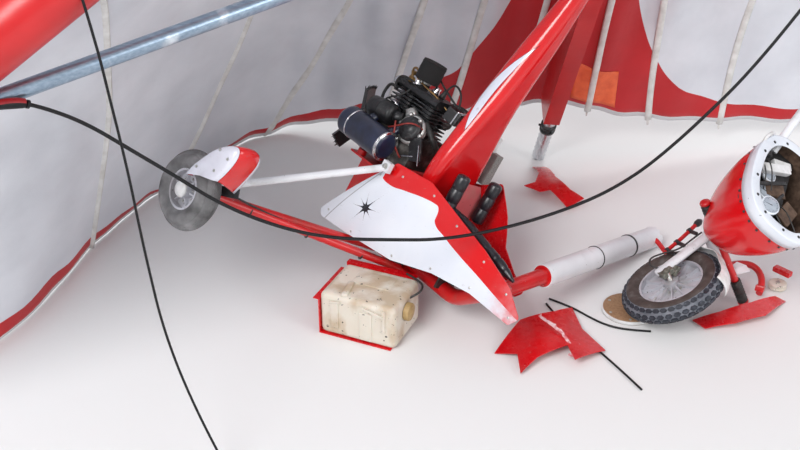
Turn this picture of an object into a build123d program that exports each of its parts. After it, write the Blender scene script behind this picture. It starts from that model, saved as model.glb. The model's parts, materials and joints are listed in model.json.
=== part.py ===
from build123d import *
import math
import os

# A two-seat weight-shift microlight that lies broken where it came down. Its wing stands on the
# trailing edge and leans on the mast of the trike, the trike has rolled onto its left side, and
# the nose has torn off with the front wheel. X runs along the span, Z is up. Millimetres.

# Cables
CABLE_DIAMETER = 12.0
HANGING_DIAMETER = 8.0
CONTROL_CABLE_DIAMETER = 8.0

# Clearances
SEAT_GAP = 0.3
SHAFT_GAP = 0.08
RUN_GAP = 6.0

# Wing
WING_TUBE_DIAMETER = 60.0
WING_TUBE_WALL = 3.0
KEEL_LENGTH = 3300.0
LEFT_EDGE_LENGTH = 4950.0
RIGHT_EDGE_LENGTH = 5338.0
KEEL_NOSE_GAP = 75.0
LE_TUBE_START = 105.0
LE_TUBE_STICKOUT = 60.0
LE_POCKET_START = 270.0
LE_POCKET_ROOT = 210.0
LE_POCKET_TIP = 165.0
CROSSBAR_DIAMETER = 52.0
CROSSBAR_WALL = 2.5
CROSSBAR_STATION = 1800.0
CROSSBAR_LE_STATION = 3000.0
CROSSBAR_LE_DROP = 70.0
CROSSBAR_GAP = 30.0
SAIL_THICKNESS = 4.0
SAIL_ROOT_REAR = (270.0, 118.0)
SAIL_ROOT_FRONT = (3000.0, 50.0)
SAIL_ROOT_BILLOW = 150.0
NOSE_PLATE_WIDTH = 300.0
NOSE_PLATE_LENGTH = 260.0
PLATE_THICKNESS = 5.0
KEEL_POCKET_START = 290.0
KEEL_POCKET_END = 1500.0
KEEL_POCKET_WIDTH = 76.0
KEEL_POCKET_UNDER = 36.0
HANG_STATION = 1700.0
HANG_DROP = 150.0
HANG_WIDTH = 60.0
HANG_BOLT_DIAMETER = 12.0
CONTROL_BAR_DIAMETER = 32.0
CONTROL_BAR_WALL = 2.5
CONTROL_BAR_BEND = 90.0
CONTROL_STATION = 1580.0

# Trike frame
TUBE_DIAMETER = 60.0
TUBE_WALL = 3.0
BASE_DROP = 45.0
BASE_REAR = -420.0
BASE_BEND = 300.0
BASE_BEND_RADIUS = 120.0
HEAD_POINT = (500, -80, 105)
HEAD_DIAMETER = 80.0
HEAD_HEIGHT = 76.0
MAST_FOOT_X = -20.0
MAST_DIAMETER = 55.0
MAST_WALL = 3.0
SOCKET_DIAMETER = 60.0
SOCKET_LENGTH = 275.0
SOCKET_INSERT = 40.0
FRONT_TUBE_DIAMETER = 90.0
FRONT_TUBE_WALL = 4.0
FRONT_TUBE_BORED_OUT = 1.0
LEG_BRACKET = (240.0, 90.0, 16.0)
BRACKET_WELD = 1.5
LEG_DIAMETER = 32.0
LEG_LUG = (90.0, 24.0, 44.0)
LEG_SPREAD = 160.0
LEG_FRONT_X = 40.0
STRUT_DIAMETER = 28.0
STRUT_LUG_WIDTH = 22.0
AXLE_DIAMETER = 20.0

# Wheels
REAR_TYRE_DIAMETER = 290.0
REAR_TYRE_WIDTH = 92.0
REAR_RIM_DIAMETER = 150.0
FRONT_TYRE_DIAMETER = 395.0
FRONT_TYRE_WIDTH = 82.0
FRONT_RIM_DIAMETER = 250.0
HUB_DIAMETER = 64.0
DISC_THICKNESS = 10.0
RIM_WALL = 8.0

# Shells
SHELL = 4.0
FAIRING_OUT = 150.0
FAIRING_BULGE = 55.0
FAIRING_TOE_IN = 6.0
OUTLINE_ROUND = 14.0
STAY_DIAMETER = 22.0
REAR_STAY_AT = (-98.0, 0.0, 268.0)
FRONT_STAY_AT = (262.0, 0.0, 46.7)
STRUT_TOP_OUT = 226.0
SPAT_RADIUS = 178.0
SPAT_WIDTH = 150.0
SPAT_EDGE = 60.0
SPAT_START = -140.0
SPAT_SWEEP = 135.0
SPAT_SLIP = 34.0

# Seat
PAN_START = 45.0
PAN_LENGTH = 325.0
PAN_WIDTH = 230.0
PAN_HEIGHT = 60.0
CUSHION_HEIGHT = 58.0
BOLSTER_DIAMETER = 56.0
BOLSTER_LENGTH = 180.0
BOLSTER_X = 112.0
BOLSTER_Y = 103.0

# Fuel tank
TANK_SIZE = (310.0, 235.0, 180.0)
TANK_ROUND = 24.0
TRAY_WALL = 4.0
TRAY_HEIGHT = 150.0
TRAY_LIP = 26.0
CAP_DIAMETER = 68.0
CAP_HEIGHT = 28.0

# Nose pod
POD_LENGTH = 395.0
POD_WIDTH = 430.0
POD_HEIGHT = 338.0
POD_TRIM = 28.0
PANEL_INSET = 70.0
GAUGE_DIAMETER = 62.0

# Front fork
FORK_TURN = -10.0
FORK_BLADE = (290.0, 24.0, 42.0)
FORK_CROWN_X = -256.0
CROWN_LENGTH = 40.0
FOOT_BAR_DIAMETER = 28.0
FOOT_BAR_LENGTH = 486.0
FOOT_BAR_SHIFT = 7.0
PEG_DIAMETER = 40.0
PEG_LENGTH = 110.0
STEM_DIAMETER = 50.0
STEM_LENGTH = 190.0

# Engine
ENGINE_X = -286.0
MOUNT_HEIGHT = 192.0
MOUNT_LENGTH = 300.0
MOUNT_WIDTH = 180.0
CASE_LENGTH = 300.0
CASE_WIDTH = 200.0
CASE_HEIGHT = 180.0
CYLINDER_PITCH = 124.0
FIN_COUNT = 8
FIN_PITCH = 15.0
FIN_THICKNESS = 5.0
FIN_LENGTH = 112.0
FIN_WIDTH = 126.0
HEAD_BLOCK_HEIGHT = 36.0
GEARBOX_DIAMETER = 150.0
GEARBOX_LENGTH = 70.0
MUFFLER_DIAMETER = 120.0
MUFFLER_LENGTH = 260.0
FILTER_DIAMETER = 100.0
RADIATOR_AT = (-13.0, 182.0, 400.0)
RADIATOR_SIZE = (110.0, 40.0, 130.0)
BOTTLE_DIAMETER = 40.0
BOTTLE_HEIGHT = 56.0
PROP_HUB_DIAMETER = 110.0
PROP_HUB_THICKNESS = 30.0
BLADE_STUMP = 105.0

nodes = {}


def keep(name, shape):
    nodes[name] = shape


def tube(start, end, diameter, wall=0.0):
    """A straight round tube between two points, solid where no wall is given."""
    start = Vector(*start)
    end = Vector(*end)
    ring = Circle(diameter / 2)
    if wall:
        ring -= Circle(diameter / 2 - wall)
    return extrude(Plane(origin=start, z_dir=end - start) * ring, amount=(end - start).length)


def bent_tube(points, diameter, wall, radius):
    """A round tube along straight runs that arcs join."""
    path = FilletPolyline(*points, radius=radius)
    ring = Circle(diameter / 2) - Circle(diameter / 2 - wall)
    start = Plane(origin=points[0], z_dir=Vector(*points[1]) - Vector(*points[0]))
    return sweep(start * ring, path=path)


def resting(origin, heading, nose_down, roll):
    """The place of a broken unit: where its origin lies and how it is turned, in degrees."""
    return Pos(*origin) * Rot(Z=heading) * Rot(Y=nose_down) * Rot(X=roll)


def cable(points, diameter):
    """A slack cable: short runs joined by arcs as wide as the runs allow."""
    points = [Vector(*point) for point in points]
    radii = []
    for before, at, after in zip(points, points[1:], points[2:]):
        shorter = min((at - before).length, (after - at).length)
        turn = math.radians((at - before).get_angle(after - at))
        radii.append(0.45 * shorter / math.tan(turn / 2))
    print("cable bend radii", [round(radius) for radius in radii])
    path = FilletPolyline(*points, radius=radii)
    return sweep(Plane(origin=points[0], z_dir=points[1] - points[0]) * Circle(diameter / 2), path=path)


def point(place, at):
    return (place * Location(at)).position


# Resting places of the units on the ground
rear_place = resting((41, -514, 196), -51.2, 8.0, -29.3)
left_wheel_place = resting((250, 30, 63.2), 40.0, 0.0, -82.0)
front_place = resting((1044, -692, 128), -160.9, 23.6, -80.7)
pod_place = resting((1200, -550, 295), -44.6, -46.0, 27.5)
tank_place = resting((-112, -770, TANK_SIZE[2] / 2 + TRAY_WALL + SEAT_GAP), -24.0, 0.0, 0.0)
FRONT_TUBE_END = (1060, -188, 44.5)
DISC_AT = (892, -664, 0)
BOARD_DIAMETER = 210.0
BOARD_THICKNESS = 12.0

# Wing axes: the keel leans towards the trike, its upper surface faces away from it
keel_foot = Vector(678, 658, 13.8)
keel_dir = Vector(335, -1480, 2930).normalized()
wing_nose = keel_foot + keel_dir * KEEL_LENGTH
wing_up = Vector(0, keel_dir.Z, -keel_dir.Y).normalized()
left_way = Vector(-3892, -1130, -2845).normalized()
right_way = Vector(4287, 1422, -2845).normalized()
leading_edges = (
    ("left", -1, left_way, wing_nose + left_way * LEFT_EDGE_LENGTH),
    ("right", 1, right_way, wing_nose + right_way * RIGHT_EDGE_LENGTH),
)


def on_keel(station, over=0.0, side=0.0):
    return keel_foot + keel_dir * station + wing_up * over + Vector(side, 0, 0)


# Keel tube
keep("keel_tube", tube(keel_foot, on_keel(KEEL_LENGTH - KEEL_NOSE_GAP), WING_TUBE_DIAMETER, WING_TUBE_WALL))
keel_room = tube(keel_foot, on_keel(KEEL_LENGTH), WING_TUBE_DIAMETER + 2 * SEAT_GAP)


def pocket_radius(run, tip):
    """The sail pocket round a leading edge tapers evenly from root to tip."""
    length = (tip - wing_nose).length - LE_POCKET_START
    share = (run - LE_POCKET_START) / length
    return (LE_POCKET_ROOT + (LE_POCKET_TIP - LE_POCKET_ROOT) * share) / 2


def pocket_cone(way, tip, gap):
    start = wing_nose + way * LE_POCKET_START
    cone = Cone(LE_POCKET_ROOT / 2 + gap, LE_POCKET_TIP / 2 + gap, (tip - start).length,
                align=(Align.CENTER, Align.CENTER, Align.MIN))
    return Plane(origin=start, z_dir=way).location * cone


# Leading edges: an aluminium tube in a padded red sail pocket
edge_rooms = []
edge_tubes = []
for side, sign, way, tip in leading_edges:
    tube_start = wing_nose + way * LE_TUBE_START
    tube_end = tip + way * LE_TUBE_STICKOUT
    bore = tube(tube_start, tube_end, WING_TUBE_DIAMETER + 2 * SEAT_GAP)
    edge_tubes.append(tube(tube_start, tube_end, WING_TUBE_DIAMETER, WING_TUBE_WALL))
    keep("leading_edge_pocket_" + side, pocket_cone(way, tip, 0) - bore)
    edge_rooms.append(bore)
keep("leading_edge_tubes", edge_tubes[0] + edge_tubes[1])

# Nose plates over and under the three tubes
nose_plane = Plane(origin=on_keel(KEEL_LENGTH - NOSE_PLATE_LENGTH / 3), x_dir=keel_dir, z_dir=wing_up)
plate = fillet(Rectangle(NOSE_PLATE_LENGTH, NOSE_PLATE_WIDTH).vertices(), 30)
plate_over = WING_TUBE_DIAMETER / 2 + SEAT_GAP
upper_plate = extrude(nose_plane.offset(plate_over) * plate, amount=PLATE_THICKNESS)
lower_plate = extrude(nose_plane.offset(-plate_over) * plate, amount=-PLATE_THICKNESS)
for room in edge_rooms:
    upper_plate -= room
    lower_plate -= room
keep("nose_plates", upper_plate + lower_plate)

# Crossbar halves, each from the underside of the keel to its saddle under the leading edge
crossbar_under = (WING_TUBE_DIAMETER + CROSSBAR_DIAMETER) / 2 + SEAT_GAP
crossbars = []
for side, sign, way, tip in leading_edges:
    inner = on_keel(CROSSBAR_STATION, -crossbar_under, sign * CROSSBAR_GAP / 2)
    outer = wing_nose + way * CROSSBAR_LE_STATION - wing_up * CROSSBAR_LE_DROP
    bar = tube(inner, outer, CROSSBAR_DIAMETER, CROSSBAR_WALL)
    crossbars.append(bar - pocket_cone(way, tip, SEAT_GAP))
keep("crossbars", crossbars[0] + crossbars[1])

# Sail halves, each a thin billowed skin from the leading edge to the trailing edge
# Columns: leading-edge distance, trailing edge x, y, z, billow
left_ribs = (
    (600, 330, 760, 190, 230),
    (1000, -150, 872, 110, 260),
    (1350, -660, 930, 10, 260),
    (1800, -1042, 426, 0, 230),
    (2400, -1293, -129, 0, 180),
    (3100, -1500, -863, 0, 110),
    (4000, -2050, -1300, 0, 70),
    (4700, -2650, -1700, 0, 30),
)
right_ribs = (
    (700, 1230, 720, 180, 220),
    (1500, 2009, 862, 100, 240),
    (2500, 3000, 930, 60, 200),
    (3600, 4200, 880, 30, 120),
    (4800, 5180, 780, 0, 40),
)


def rib_face(front, rear, billow):
    skin = wing_up * SAIL_THICKNESS
    middle = (front + rear) / 2 + wing_up * billow
    return Face(Wire([
        Edge.make_three_point_arc(front, middle, rear),
        Edge.make_line(rear, rear + skin),
        Edge.make_three_point_arc(rear + skin, middle + skin, front + skin),
        Edge.make_line(front + skin, front),
    ]))


sail_root = (on_keel(*SAIL_ROOT_FRONT), on_keel(*SAIL_ROOT_REAR))
for (side, sign, way, tip), ribs in zip(leading_edges, (left_ribs, right_ribs)):
    faces = [rib_face(sail_root[0], sail_root[1], SAIL_ROOT_BILLOW)]
    for run, x, y, z, billow in ribs:
        centre = wing_nose + way * run
        rear = Vector(x, y, z)
        chord = rear - centre
        square = (chord - way * chord.dot(way)).normalized()
        front = centre + (square * 0.94 + wing_up * 0.34).normalized() * (pocket_radius(run, tip) + 2)
        faces.append(rib_face(front, rear, billow))
    keep("sail_" + side, loft(faces, ruled=True))

# Keel pocket, a red sleeve from round the keel up to the sail
root_gap = wing_up * -SEAT_GAP * 3
rear_up = sail_root[1] + root_gap
front_up = sail_root[0] + root_gap
middle_up = (rear_up + front_up) / 2 + wing_up * SAIL_ROOT_BILLOW
under_front = on_keel(SAIL_ROOT_FRONT[0], -KEEL_POCKET_UNDER)
under_rear = on_keel(SAIL_ROOT_REAR[0], -KEEL_POCKET_UNDER)
side_face = Face(Wire([
    Edge.make_three_point_arc(rear_up, middle_up, front_up),
    Edge.make_line(front_up, under_front),
    Edge.make_line(under_front, under_rear),
    Edge.make_line(under_rear, rear_up),
]))
sleeve = extrude(side_face, amount=KEEL_POCKET_WIDTH / 2, both=True)
kept_run = tube(on_keel(KEEL_POCKET_START), on_keel(KEEL_POCKET_END), 4 * KEEL_POCKET_WIDTH + 400)
sleeve = (sleeve & kept_run) - keel_room
for side in ("left", "right"):
    sleeve -= nodes["sail_" + side]
    sleeve -= Pos(*(wing_up * -SEAT_GAP)) * nodes["sail_" + side]
keep("keel_pocket", max(sleeve.solids(), key=lambda solid: solid.volume))

# Hang block between the keel and the mast top
hang_plane = Plane(origin=on_keel(HANG_STATION), x_dir=keel_dir, z_dir=wing_up)
hang_height = HANG_DROP - WING_TUBE_DIAMETER / 2 - SEAT_GAP
hang_block = Pos(0, 0, -HANG_DROP + hang_height / 2) * Box(HANG_WIDTH, HANG_WIDTH, hang_height)
hang_block = fillet(hang_block.edges().filter_by(Axis.Z), 10)
hang_block -= Pos(0, 0, -HANG_DROP / 2) * Rot(X=90) * Cylinder(HANG_BOLT_DIAMETER / 2, 2 * HANG_WIDTH)
keep("hang_block", hang_plane.location * hang_block)

# Mast, cut off square to the hang block
mast_top = on_keel(HANG_STATION, -HANG_DROP - SEAT_GAP)
mast_foot = point(rear_place, (MAST_FOOT_X, 0, TUBE_DIAMETER / 2 - BASE_DROP))
mast_dir = (mast_top - mast_foot).normalized()
mast = tube(mast_foot - mast_dir * 20, mast_top + mast_dir * 40, MAST_DIAMETER, MAST_WALL)
above_mast = hang_plane.location * (Pos(0, 0, -HANG_DROP - SEAT_GAP + 100) * Box(300, 300, 200))
base_room = Pos(0, 0, -BASE_DROP) * Rot(Y=90) * Cylinder(TUBE_DIAMETER / 2 + SEAT_GAP, 900)
keep("mast", mast - above_mast - rear_place * base_room)

# Control bar, broken off at the nose pod and bent at its corner
bar_points = (Vector(1377, -566, 640), Vector(1772, -298, 1114), on_keel(CONTROL_STATION, 0, 20))
control_bar = bent_tube(bar_points, CONTROL_BAR_DIAMETER, CONTROL_BAR_WALL, CONTROL_BAR_BEND)
keep("control_bar", control_bar - keel_room)

# Base tube of the trike with its welded head and the welded bracket of the main legs
base_points = (Vector(BASE_REAR, 0, -BASE_DROP), Vector(BASE_BEND, 0, -BASE_DROP), Vector(*HEAD_POINT))
base_tube = bent_tube(base_points, TUBE_DIAMETER, TUBE_WALL, BASE_BEND_RADIUS)
base_tube += Pos(*HEAD_POINT) * Cylinder(HEAD_DIAMETER / 2, HEAD_HEIGHT)
bracket_z = -BASE_DROP - (TUBE_DIAMETER + LEG_BRACKET[2]) / 2 + BRACKET_WELD
base_tube += Pos(LEG_FRONT_X - LEG_SPREAD / 2, 0, bracket_z) * Box(*LEG_BRACKET)
base_tube -= Pos((BASE_REAR + BASE_BEND) / 2, 0, -BASE_DROP) * Rot(Y=90) * Cylinder(
    TUBE_DIAMETER / 2 - TUBE_WALL, BASE_BEND - BASE_REAR - 2 * BASE_BEND_RADIUS)
keep("base_tube", rear_place * base_tube)

# Front tube: a red socket and the white tube that has broken away sideways. The tube is bored
# out a little where the socket's bush sits in it
head_at = point(rear_place, HEAD_POINT)
front_end = Vector(*FRONT_TUBE_END)
front_dir = (front_end - head_at).normalized()
head_room = Pos(*HEAD_POINT) * Cylinder(HEAD_DIAMETER / 2 + SEAT_GAP, HEAD_HEIGHT + 2 * SEAT_GAP)
socket_end = head_at + front_dir * (HEAD_DIAMETER / 2 + SOCKET_LENGTH)
socket_room = tube(head_at, socket_end, SOCKET_DIAMETER + 20)
bush_start = socket_end - front_dir * SOCKET_INSERT
bush_bore_diameter = FRONT_TUBE_DIAMETER - 2 * FRONT_TUBE_WALL + 2 * FRONT_TUBE_BORED_OUT
bush_diameter = bush_bore_diameter - 2 * SEAT_GAP
neck_room = rear_place * tube(base_points[1], base_points[2], TUBE_DIAMETER + 2 * SEAT_GAP)
socket = tube(head_at + front_dir * 20, socket_end, SOCKET_DIAMETER, TUBE_WALL)
socket -= rear_place * head_room
socket -= neck_room
socket += tube(bush_start, socket_end, bush_diameter, (bush_diameter - SOCKET_DIAMETER) / 2 + TUBE_WALL)
keep("front_socket", max(socket.solids(), key=lambda solid: solid.volume))
front_tube = tube(bush_start, front_end, FRONT_TUBE_DIAMETER, FRONT_TUBE_WALL)
keep("front_tube", front_tube - tube(bush_start, socket_end, bush_bore_diameter))

# Mast cowling, from the seat back up to a slim point
# Columns: height up the mast, shift to the left, width, depth
cowl_stations = (
    (250, -12, 236, 70),
    (420, -20, 252, 84),
    (600, -26, 190, 96),
    (800, -20, 146, 104),
    (1000, -6, 118, 96),
    (1250, 0, 84, 80),
)
rear_forward = point(rear_place, (1, 0, 0)) - point(rear_place, (0, 0, 0))
cowl_sections = []
for height, shift, width, depth in cowl_stations:
    plane = Plane(origin=mast_foot + mast_dir * height, x_dir=rear_forward, z_dir=mast_dir)
    cowl_sections.append(plane * Pos(0, shift, 0) * RectangleRounded(depth, width, depth * 0.45))
mast_room = tube(mast_foot, mast_top, MAST_DIAMETER + 2 * SEAT_GAP)
keep("mast_cowling", loft(cowl_sections) - mast_room)

# Side fairings: a bulged strip of shell trimmed to the outline of the side
# The left one has lost its nose and is pushed up against the seat
right_outline = Polyline(
    (-339, -36), (-112, 294), (60, 308), (240, 262), (400, 222), (560, 166), (650, 95), (622, 52),
    (430, 60), (252, 32), (60, -30), (-182, -56), (-330, -64), close=True)
left_outline = Polyline(
    (-339, -36), (-112, 294), (16, 332), (129, 392), (202, 293), (254, 188), (350, 130), (440, 96),
    (410, 58), (252, 32), (60, -30), (-182, -56), (-330, -64), close=True)


def strip_arc(inset):
    edge = -FAIRING_OUT + inset
    return (edge, -140), (edge - FAIRING_BULGE, 90), (edge, 400)


outer_arc = strip_arc(0)
inner_arc = strip_arc(SHELL)
strip_face = make_face(Wire([
    Edge.make_three_point_arc(*outer_arc),
    Edge.make_line(outer_arc[2], inner_arc[2]),
    Edge.make_three_point_arc(*reversed(inner_arc)),
    Edge.make_line(inner_arc[0], outer_arc[0]),
]))
strip = extrude(Plane.YZ.offset(-360) * strip_face, amount=1040)
fairings = []
for outline in (right_outline, left_outline):
    side = make_face(outline)
    side = fillet(side.vertices(), OUTLINE_ROUND)
    fairings.append(Rot(Z=FAIRING_TOE_IN) * (strip & extrude(Plane.XZ * side, amount=400)))
fairing_right = fairings[0]
fairing_left = mirror(fairings[1], about=Plane.XZ)

# Two cross stays that carry the fairings, the rear one out to the lift strut
rear_stay = Pos(*REAR_STAY_AT) * Rot(X=90) * Cylinder(STAY_DIAMETER / 2, 2 * STRUT_TOP_OUT)
front_stay = Pos(*FRONT_STAY_AT) * Rot(X=90) * Cylinder(STAY_DIAMETER / 2, 2 * STRUT_TOP_OUT)
stay_post_height = REAR_STAY_AT[2] + BASE_DROP
rear_stay += Pos(REAR_STAY_AT[0], 0, REAR_STAY_AT[2] - stay_post_height / 2) * Box(8, 50, stay_post_height)
fairing_right -= Pos(*REAR_STAY_AT) * Rot(X=90) * Cylinder(STAY_DIAMETER / 2 + SEAT_GAP, 2 * STRUT_TOP_OUT)
rear_stay -= fairing_left
front_stay -= fairing_left + fairing_right
rear_stay -= base_room
stays = [max(stay.solids(), key=lambda solid: solid.volume) for stay in (rear_stay, front_stay)]
keep("fairing_stays", rear_place * Compound(stays))
keep("side_fairing_right", rear_place * fairing_right)
fairing_left = rear_place * fairing_left - socket_room

# Seat pan on two webs, its back plate, cushion and bolster rolls
pan_centre = PAN_START + PAN_LENGTH / 2
pan = Pos(pan_centre, 0, PAN_HEIGHT) * Box(PAN_LENGTH, PAN_WIDTH, SHELL)
web_height = PAN_HEIGHT + BASE_DROP
for web_x in (90, 230):
    pan += Pos(web_x, 0, PAN_HEIGHT - web_height / 2) * Box(8, 110, web_height)
keep("seat_pan", rear_place * (pan - base_room))
back_outline = Polyline(
    (-60, 0), (60, 0), (99, 170), (99, 240), (60, 285), (-60, 285), (-99, 240), (-99, 170), close=True)
back_plane = Plane.YZ.offset(BOLSTER_X)
back_plate = extrude(back_plane * make_face(back_outline), amount=SHELL)
keep("seat_back", rear_place * (Pos(0, 0, PAN_HEIGHT + SHELL / 2 + SEAT_GAP) * back_plate))
cushion_start = BOLSTER_X + SHELL + SEAT_GAP
cushion_length = PAN_START + PAN_LENGTH - cushion_start
cushion_height = PAN_HEIGHT + SHELL / 2 + SEAT_GAP + CUSHION_HEIGHT / 2
cushion_x = cushion_start + cushion_length / 2
cushion = Pos(cushion_x, 0, cushion_height) * Box(cushion_length, 190, CUSHION_HEIGHT)
keep("seat_cushion", rear_place * fillet(cushion.edges().filter_by(Axis.Z), 20))
roll_x = BOLSTER_X + SHELL + SEAT_GAP + BOLSTER_DIAMETER / 2
roll = fillet(Cylinder(BOLSTER_DIAMETER / 2, BOLSTER_LENGTH).edges(), 16)
rolls = [Pos(roll_x, sign * BOLSTER_Y, 300) * roll for sign in (-1, 1)]
keep("seat_bolsters", rear_place * (rolls[0] + rolls[1]))

# Engine mount: a plate on two webs that stand on the base tube, with four rubber feet
mount = Pos(ENGINE_X, 0, MOUNT_HEIGHT) * Box(MOUNT_LENGTH, MOUNT_WIDTH, 8)
mount_web = MOUNT_HEIGHT + BASE_DROP
for sign in (-1, 1):
    mount += Pos(ENGINE_X, sign * 22, MOUNT_HEIGHT - mount_web / 2) * Box(MOUNT_LENGTH - 40, 6, mount_web)
feet_top = MOUNT_HEIGHT + 4 + 20
for foot_x in (-110, 110):
    for foot_y in (-65, 65):
        mount += Pos(ENGINE_X + foot_x, foot_y, feet_top - 10) * Cylinder(20, 20)
keep("engine_mount", rear_place * (mount - base_room))

# Crankcase with its gearbox and propeller shaft
case_bottom = feet_top + SEAT_GAP
case = Pos(ENGINE_X, 0, case_bottom + CASE_HEIGHT / 2) * Box(CASE_LENGTH, CASE_WIDTH, CASE_HEIGHT)
case = chamfer(case.edges().filter_by(Axis.X), 34)
axis_height = case_bottom + 0.45 * CASE_HEIGHT
gearbox_face = ENGINE_X - CASE_LENGTH / 2
gearbox_x = gearbox_face - GEARBOX_LENGTH / 2
case += Pos(gearbox_x, 0, axis_height) * Rot(Y=90) * Cylinder(GEARBOX_DIAMETER / 2, GEARBOX_LENGTH)
shaft_length = RUN_GAP + PROP_HUB_THICKNESS + 8
shaft_x = gearbox_face - GEARBOX_LENGTH - shaft_length / 2
case += Pos(shaft_x, 0, axis_height) * Rot(Y=90) * Cylinder(AXLE_DIAMETER / 2, shaft_length)
keep("crankcase", rear_place * case)

# Finned cylinders and their heads
fin_bottom = case_bottom + CASE_HEIGHT + SEAT_GAP
fin_height = FIN_COUNT * FIN_PITCH
cylinders = []
for sign in (-1, 1):
    cylinder_x = ENGINE_X + sign * CYLINDER_PITCH / 2
    finned = Pos(cylinder_x, 0, fin_bottom + fin_height / 2) * Cylinder(42, fin_height)
    for fin in range(FIN_COUNT):
        fin_z = fin_bottom + (fin + 0.5) * FIN_PITCH
        finned += Pos(cylinder_x, 0, fin_z) * Box(FIN_LENGTH, FIN_WIDTH, FIN_THICKNESS)
    cylinders.append(finned)
keep("cylinders", rear_place * (cylinders[0] + cylinders[1]))
head_bottom = fin_bottom + fin_height + SEAT_GAP
head_length = CYLINDER_PITCH + FIN_LENGTH
head_z = head_bottom + HEAD_BLOCK_HEIGHT / 2
heads = Pos(ENGINE_X, 0, head_z) * Box(head_length, FIN_WIDTH, HEAD_BLOCK_HEIGHT)
keep("cylinder_head", rear_place * chamfer(heads.edges().filter_by(Axis.X), 10))

# Propeller hub with the stumps of its blades
prop_centre = (gearbox_face - GEARBOX_LENGTH - RUN_GAP - PROP_HUB_THICKNESS / 2, 0, axis_height)
propeller = Rot(Y=90) * Cylinder(PROP_HUB_DIAMETER / 2, PROP_HUB_THICKNESS)
for turn in (20, 140, 260):
    stump = Pos(0, 0, PROP_HUB_DIAMETER / 2 - 10 + BLADE_STUMP / 2) * Rot(Z=18) * Box(16, 62, BLADE_STUMP)
    propeller += Rot(X=turn) * stump
propeller -= Rot(Y=90) * Cylinder(AXLE_DIAMETER / 2 + SHAFT_GAP, 3 * PROP_HUB_THICKNESS)
keep("propeller", rear_place * Pos(*prop_centre) * propeller)

# Exhaust muffler beside the crankcase with a pipe from each cylinder
muffler_at = (ENGINE_X - 40, -(CASE_WIDTH + MUFFLER_DIAMETER) / 2 - 14, 310)
exhaust = Pos(*muffler_at) * Rot(Y=90) * Cylinder(MUFFLER_DIAMETER / 2, MUFFLER_LENGTH)
exhaust = fillet(exhaust.edges(), 26)
pipe_z = fin_bottom + fin_height * 0.55
for sign in (-1, 1):
    pipe_x = ENGINE_X + sign * CYLINDER_PITCH / 2
    exhaust += tube((pipe_x, -30, pipe_z), (pipe_x - 20, muffler_at[1], muffler_at[2] + 20), 36)
port_room = Pos(ENGINE_X, 0, pipe_z) * Box(CASE_LENGTH, FIN_WIDTH + 2 * SEAT_GAP, 300)
keep("exhaust", rear_place * (exhaust - port_room))

# Carburettors with their filters, and the tall intake filter over the heads
carb_side = FIN_WIDTH / 2 + SEAT_GAP
carburettors = []
for sign in (-1, 1):
    carb_x = ENGINE_X + sign * CYLINDER_PITCH / 2
    carburettors.append(Pos(carb_x, carb_side + 30, pipe_z) * Rot(X=90) * Cylinder(24, 60))
keep("carburettors", rear_place * (carburettors[0] + carburettors[1]))
intake_bottom = head_bottom + HEAD_BLOCK_HEIGHT + SEAT_GAP
intake = Pos(ENGINE_X - 20, -20, intake_bottom + 15) * Cylinder(22, 30)
intake += Pos(ENGINE_X - 20, -20, intake_bottom + 30 + 40) * Cylinder(FILTER_DIAMETER / 2, 80)
keep("air_filter", rear_place * intake)
radiator = Pos(*RADIATOR_AT) * Box(*RADIATOR_SIZE)
radiator += Pos(RADIATOR_AT[0], RADIATOR_AT[1] - 70, RADIATOR_AT[2]) * Box(24, 100, 24)
radiator = rear_place * radiator - nodes["mast_cowling"] - mast_room
keep("radiator", max(radiator.solids(), key=lambda solid: solid.volume))
bottle_z = RADIATOR_AT[2] + (RADIATOR_SIZE[2] + BOTTLE_HEIGHT) / 2 + SEAT_GAP
bottle_at = (RADIATOR_AT[0], RADIATOR_AT[1], bottle_z)
bottle = Cylinder(BOTTLE_DIAMETER / 2, BOTTLE_HEIGHT)
bottle += Pos(0, 0, BOTTLE_HEIGHT / 2) * Cylinder(BOTTLE_DIAMETER / 3, 14)
keep("coolant_bottle", rear_place * Pos(*bottle_at) * bottle)


def turned_wheel(tyre_diameter, width, rim_diameter):
    """A tyre and a rim turned about Y, the rim bored for its axle."""
    half = width / 2
    outer = tyre_diameter / 2
    inner = rim_diameter / 2
    shoulder = outer - 16
    bead = inner + 12
    middle = (inner + outer) / 2 + 6
    tyre = make_face(Wire([
        Edge.make_line((inner, -half * 0.7), (bead, -half * 0.92)),
        Edge.make_three_point_arc((bead, -half * 0.92), (middle, -half), (shoulder, -half * 0.62)),
        Edge.make_three_point_arc((shoulder, -half * 0.62), (outer, 0), (shoulder, half * 0.62)),
        Edge.make_three_point_arc((shoulder, half * 0.62), (middle, half), (bead, half * 0.92)),
        Edge.make_line((bead, half * 0.92), (inner, half * 0.7)),
        Edge.make_line((inner, half * 0.7), (inner, -half * 0.7)),
    ]))
    bore = AXLE_DIAMETER / 2 + SHAFT_GAP
    hub = HUB_DIAMETER / 2
    well = inner - RIM_WALL
    seat = inner - SHAFT_GAP
    rim_half = half * 0.7
    hub_half = half * 0.8
    disc = DISC_THICKNESS / 2
    rim = make_face(Polyline(
        (bore, -hub_half), (hub, -hub_half), (hub, -disc), (well, -disc),
        (well, -rim_half), (seat, -rim_half), (seat, rim_half), (well, rim_half),
        (well, disc), (hub, disc), (hub, hub_half), (bore, hub_half), close=True))
    return revolve(tyre, Axis.Y), revolve(rim, Axis.Y)


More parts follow.
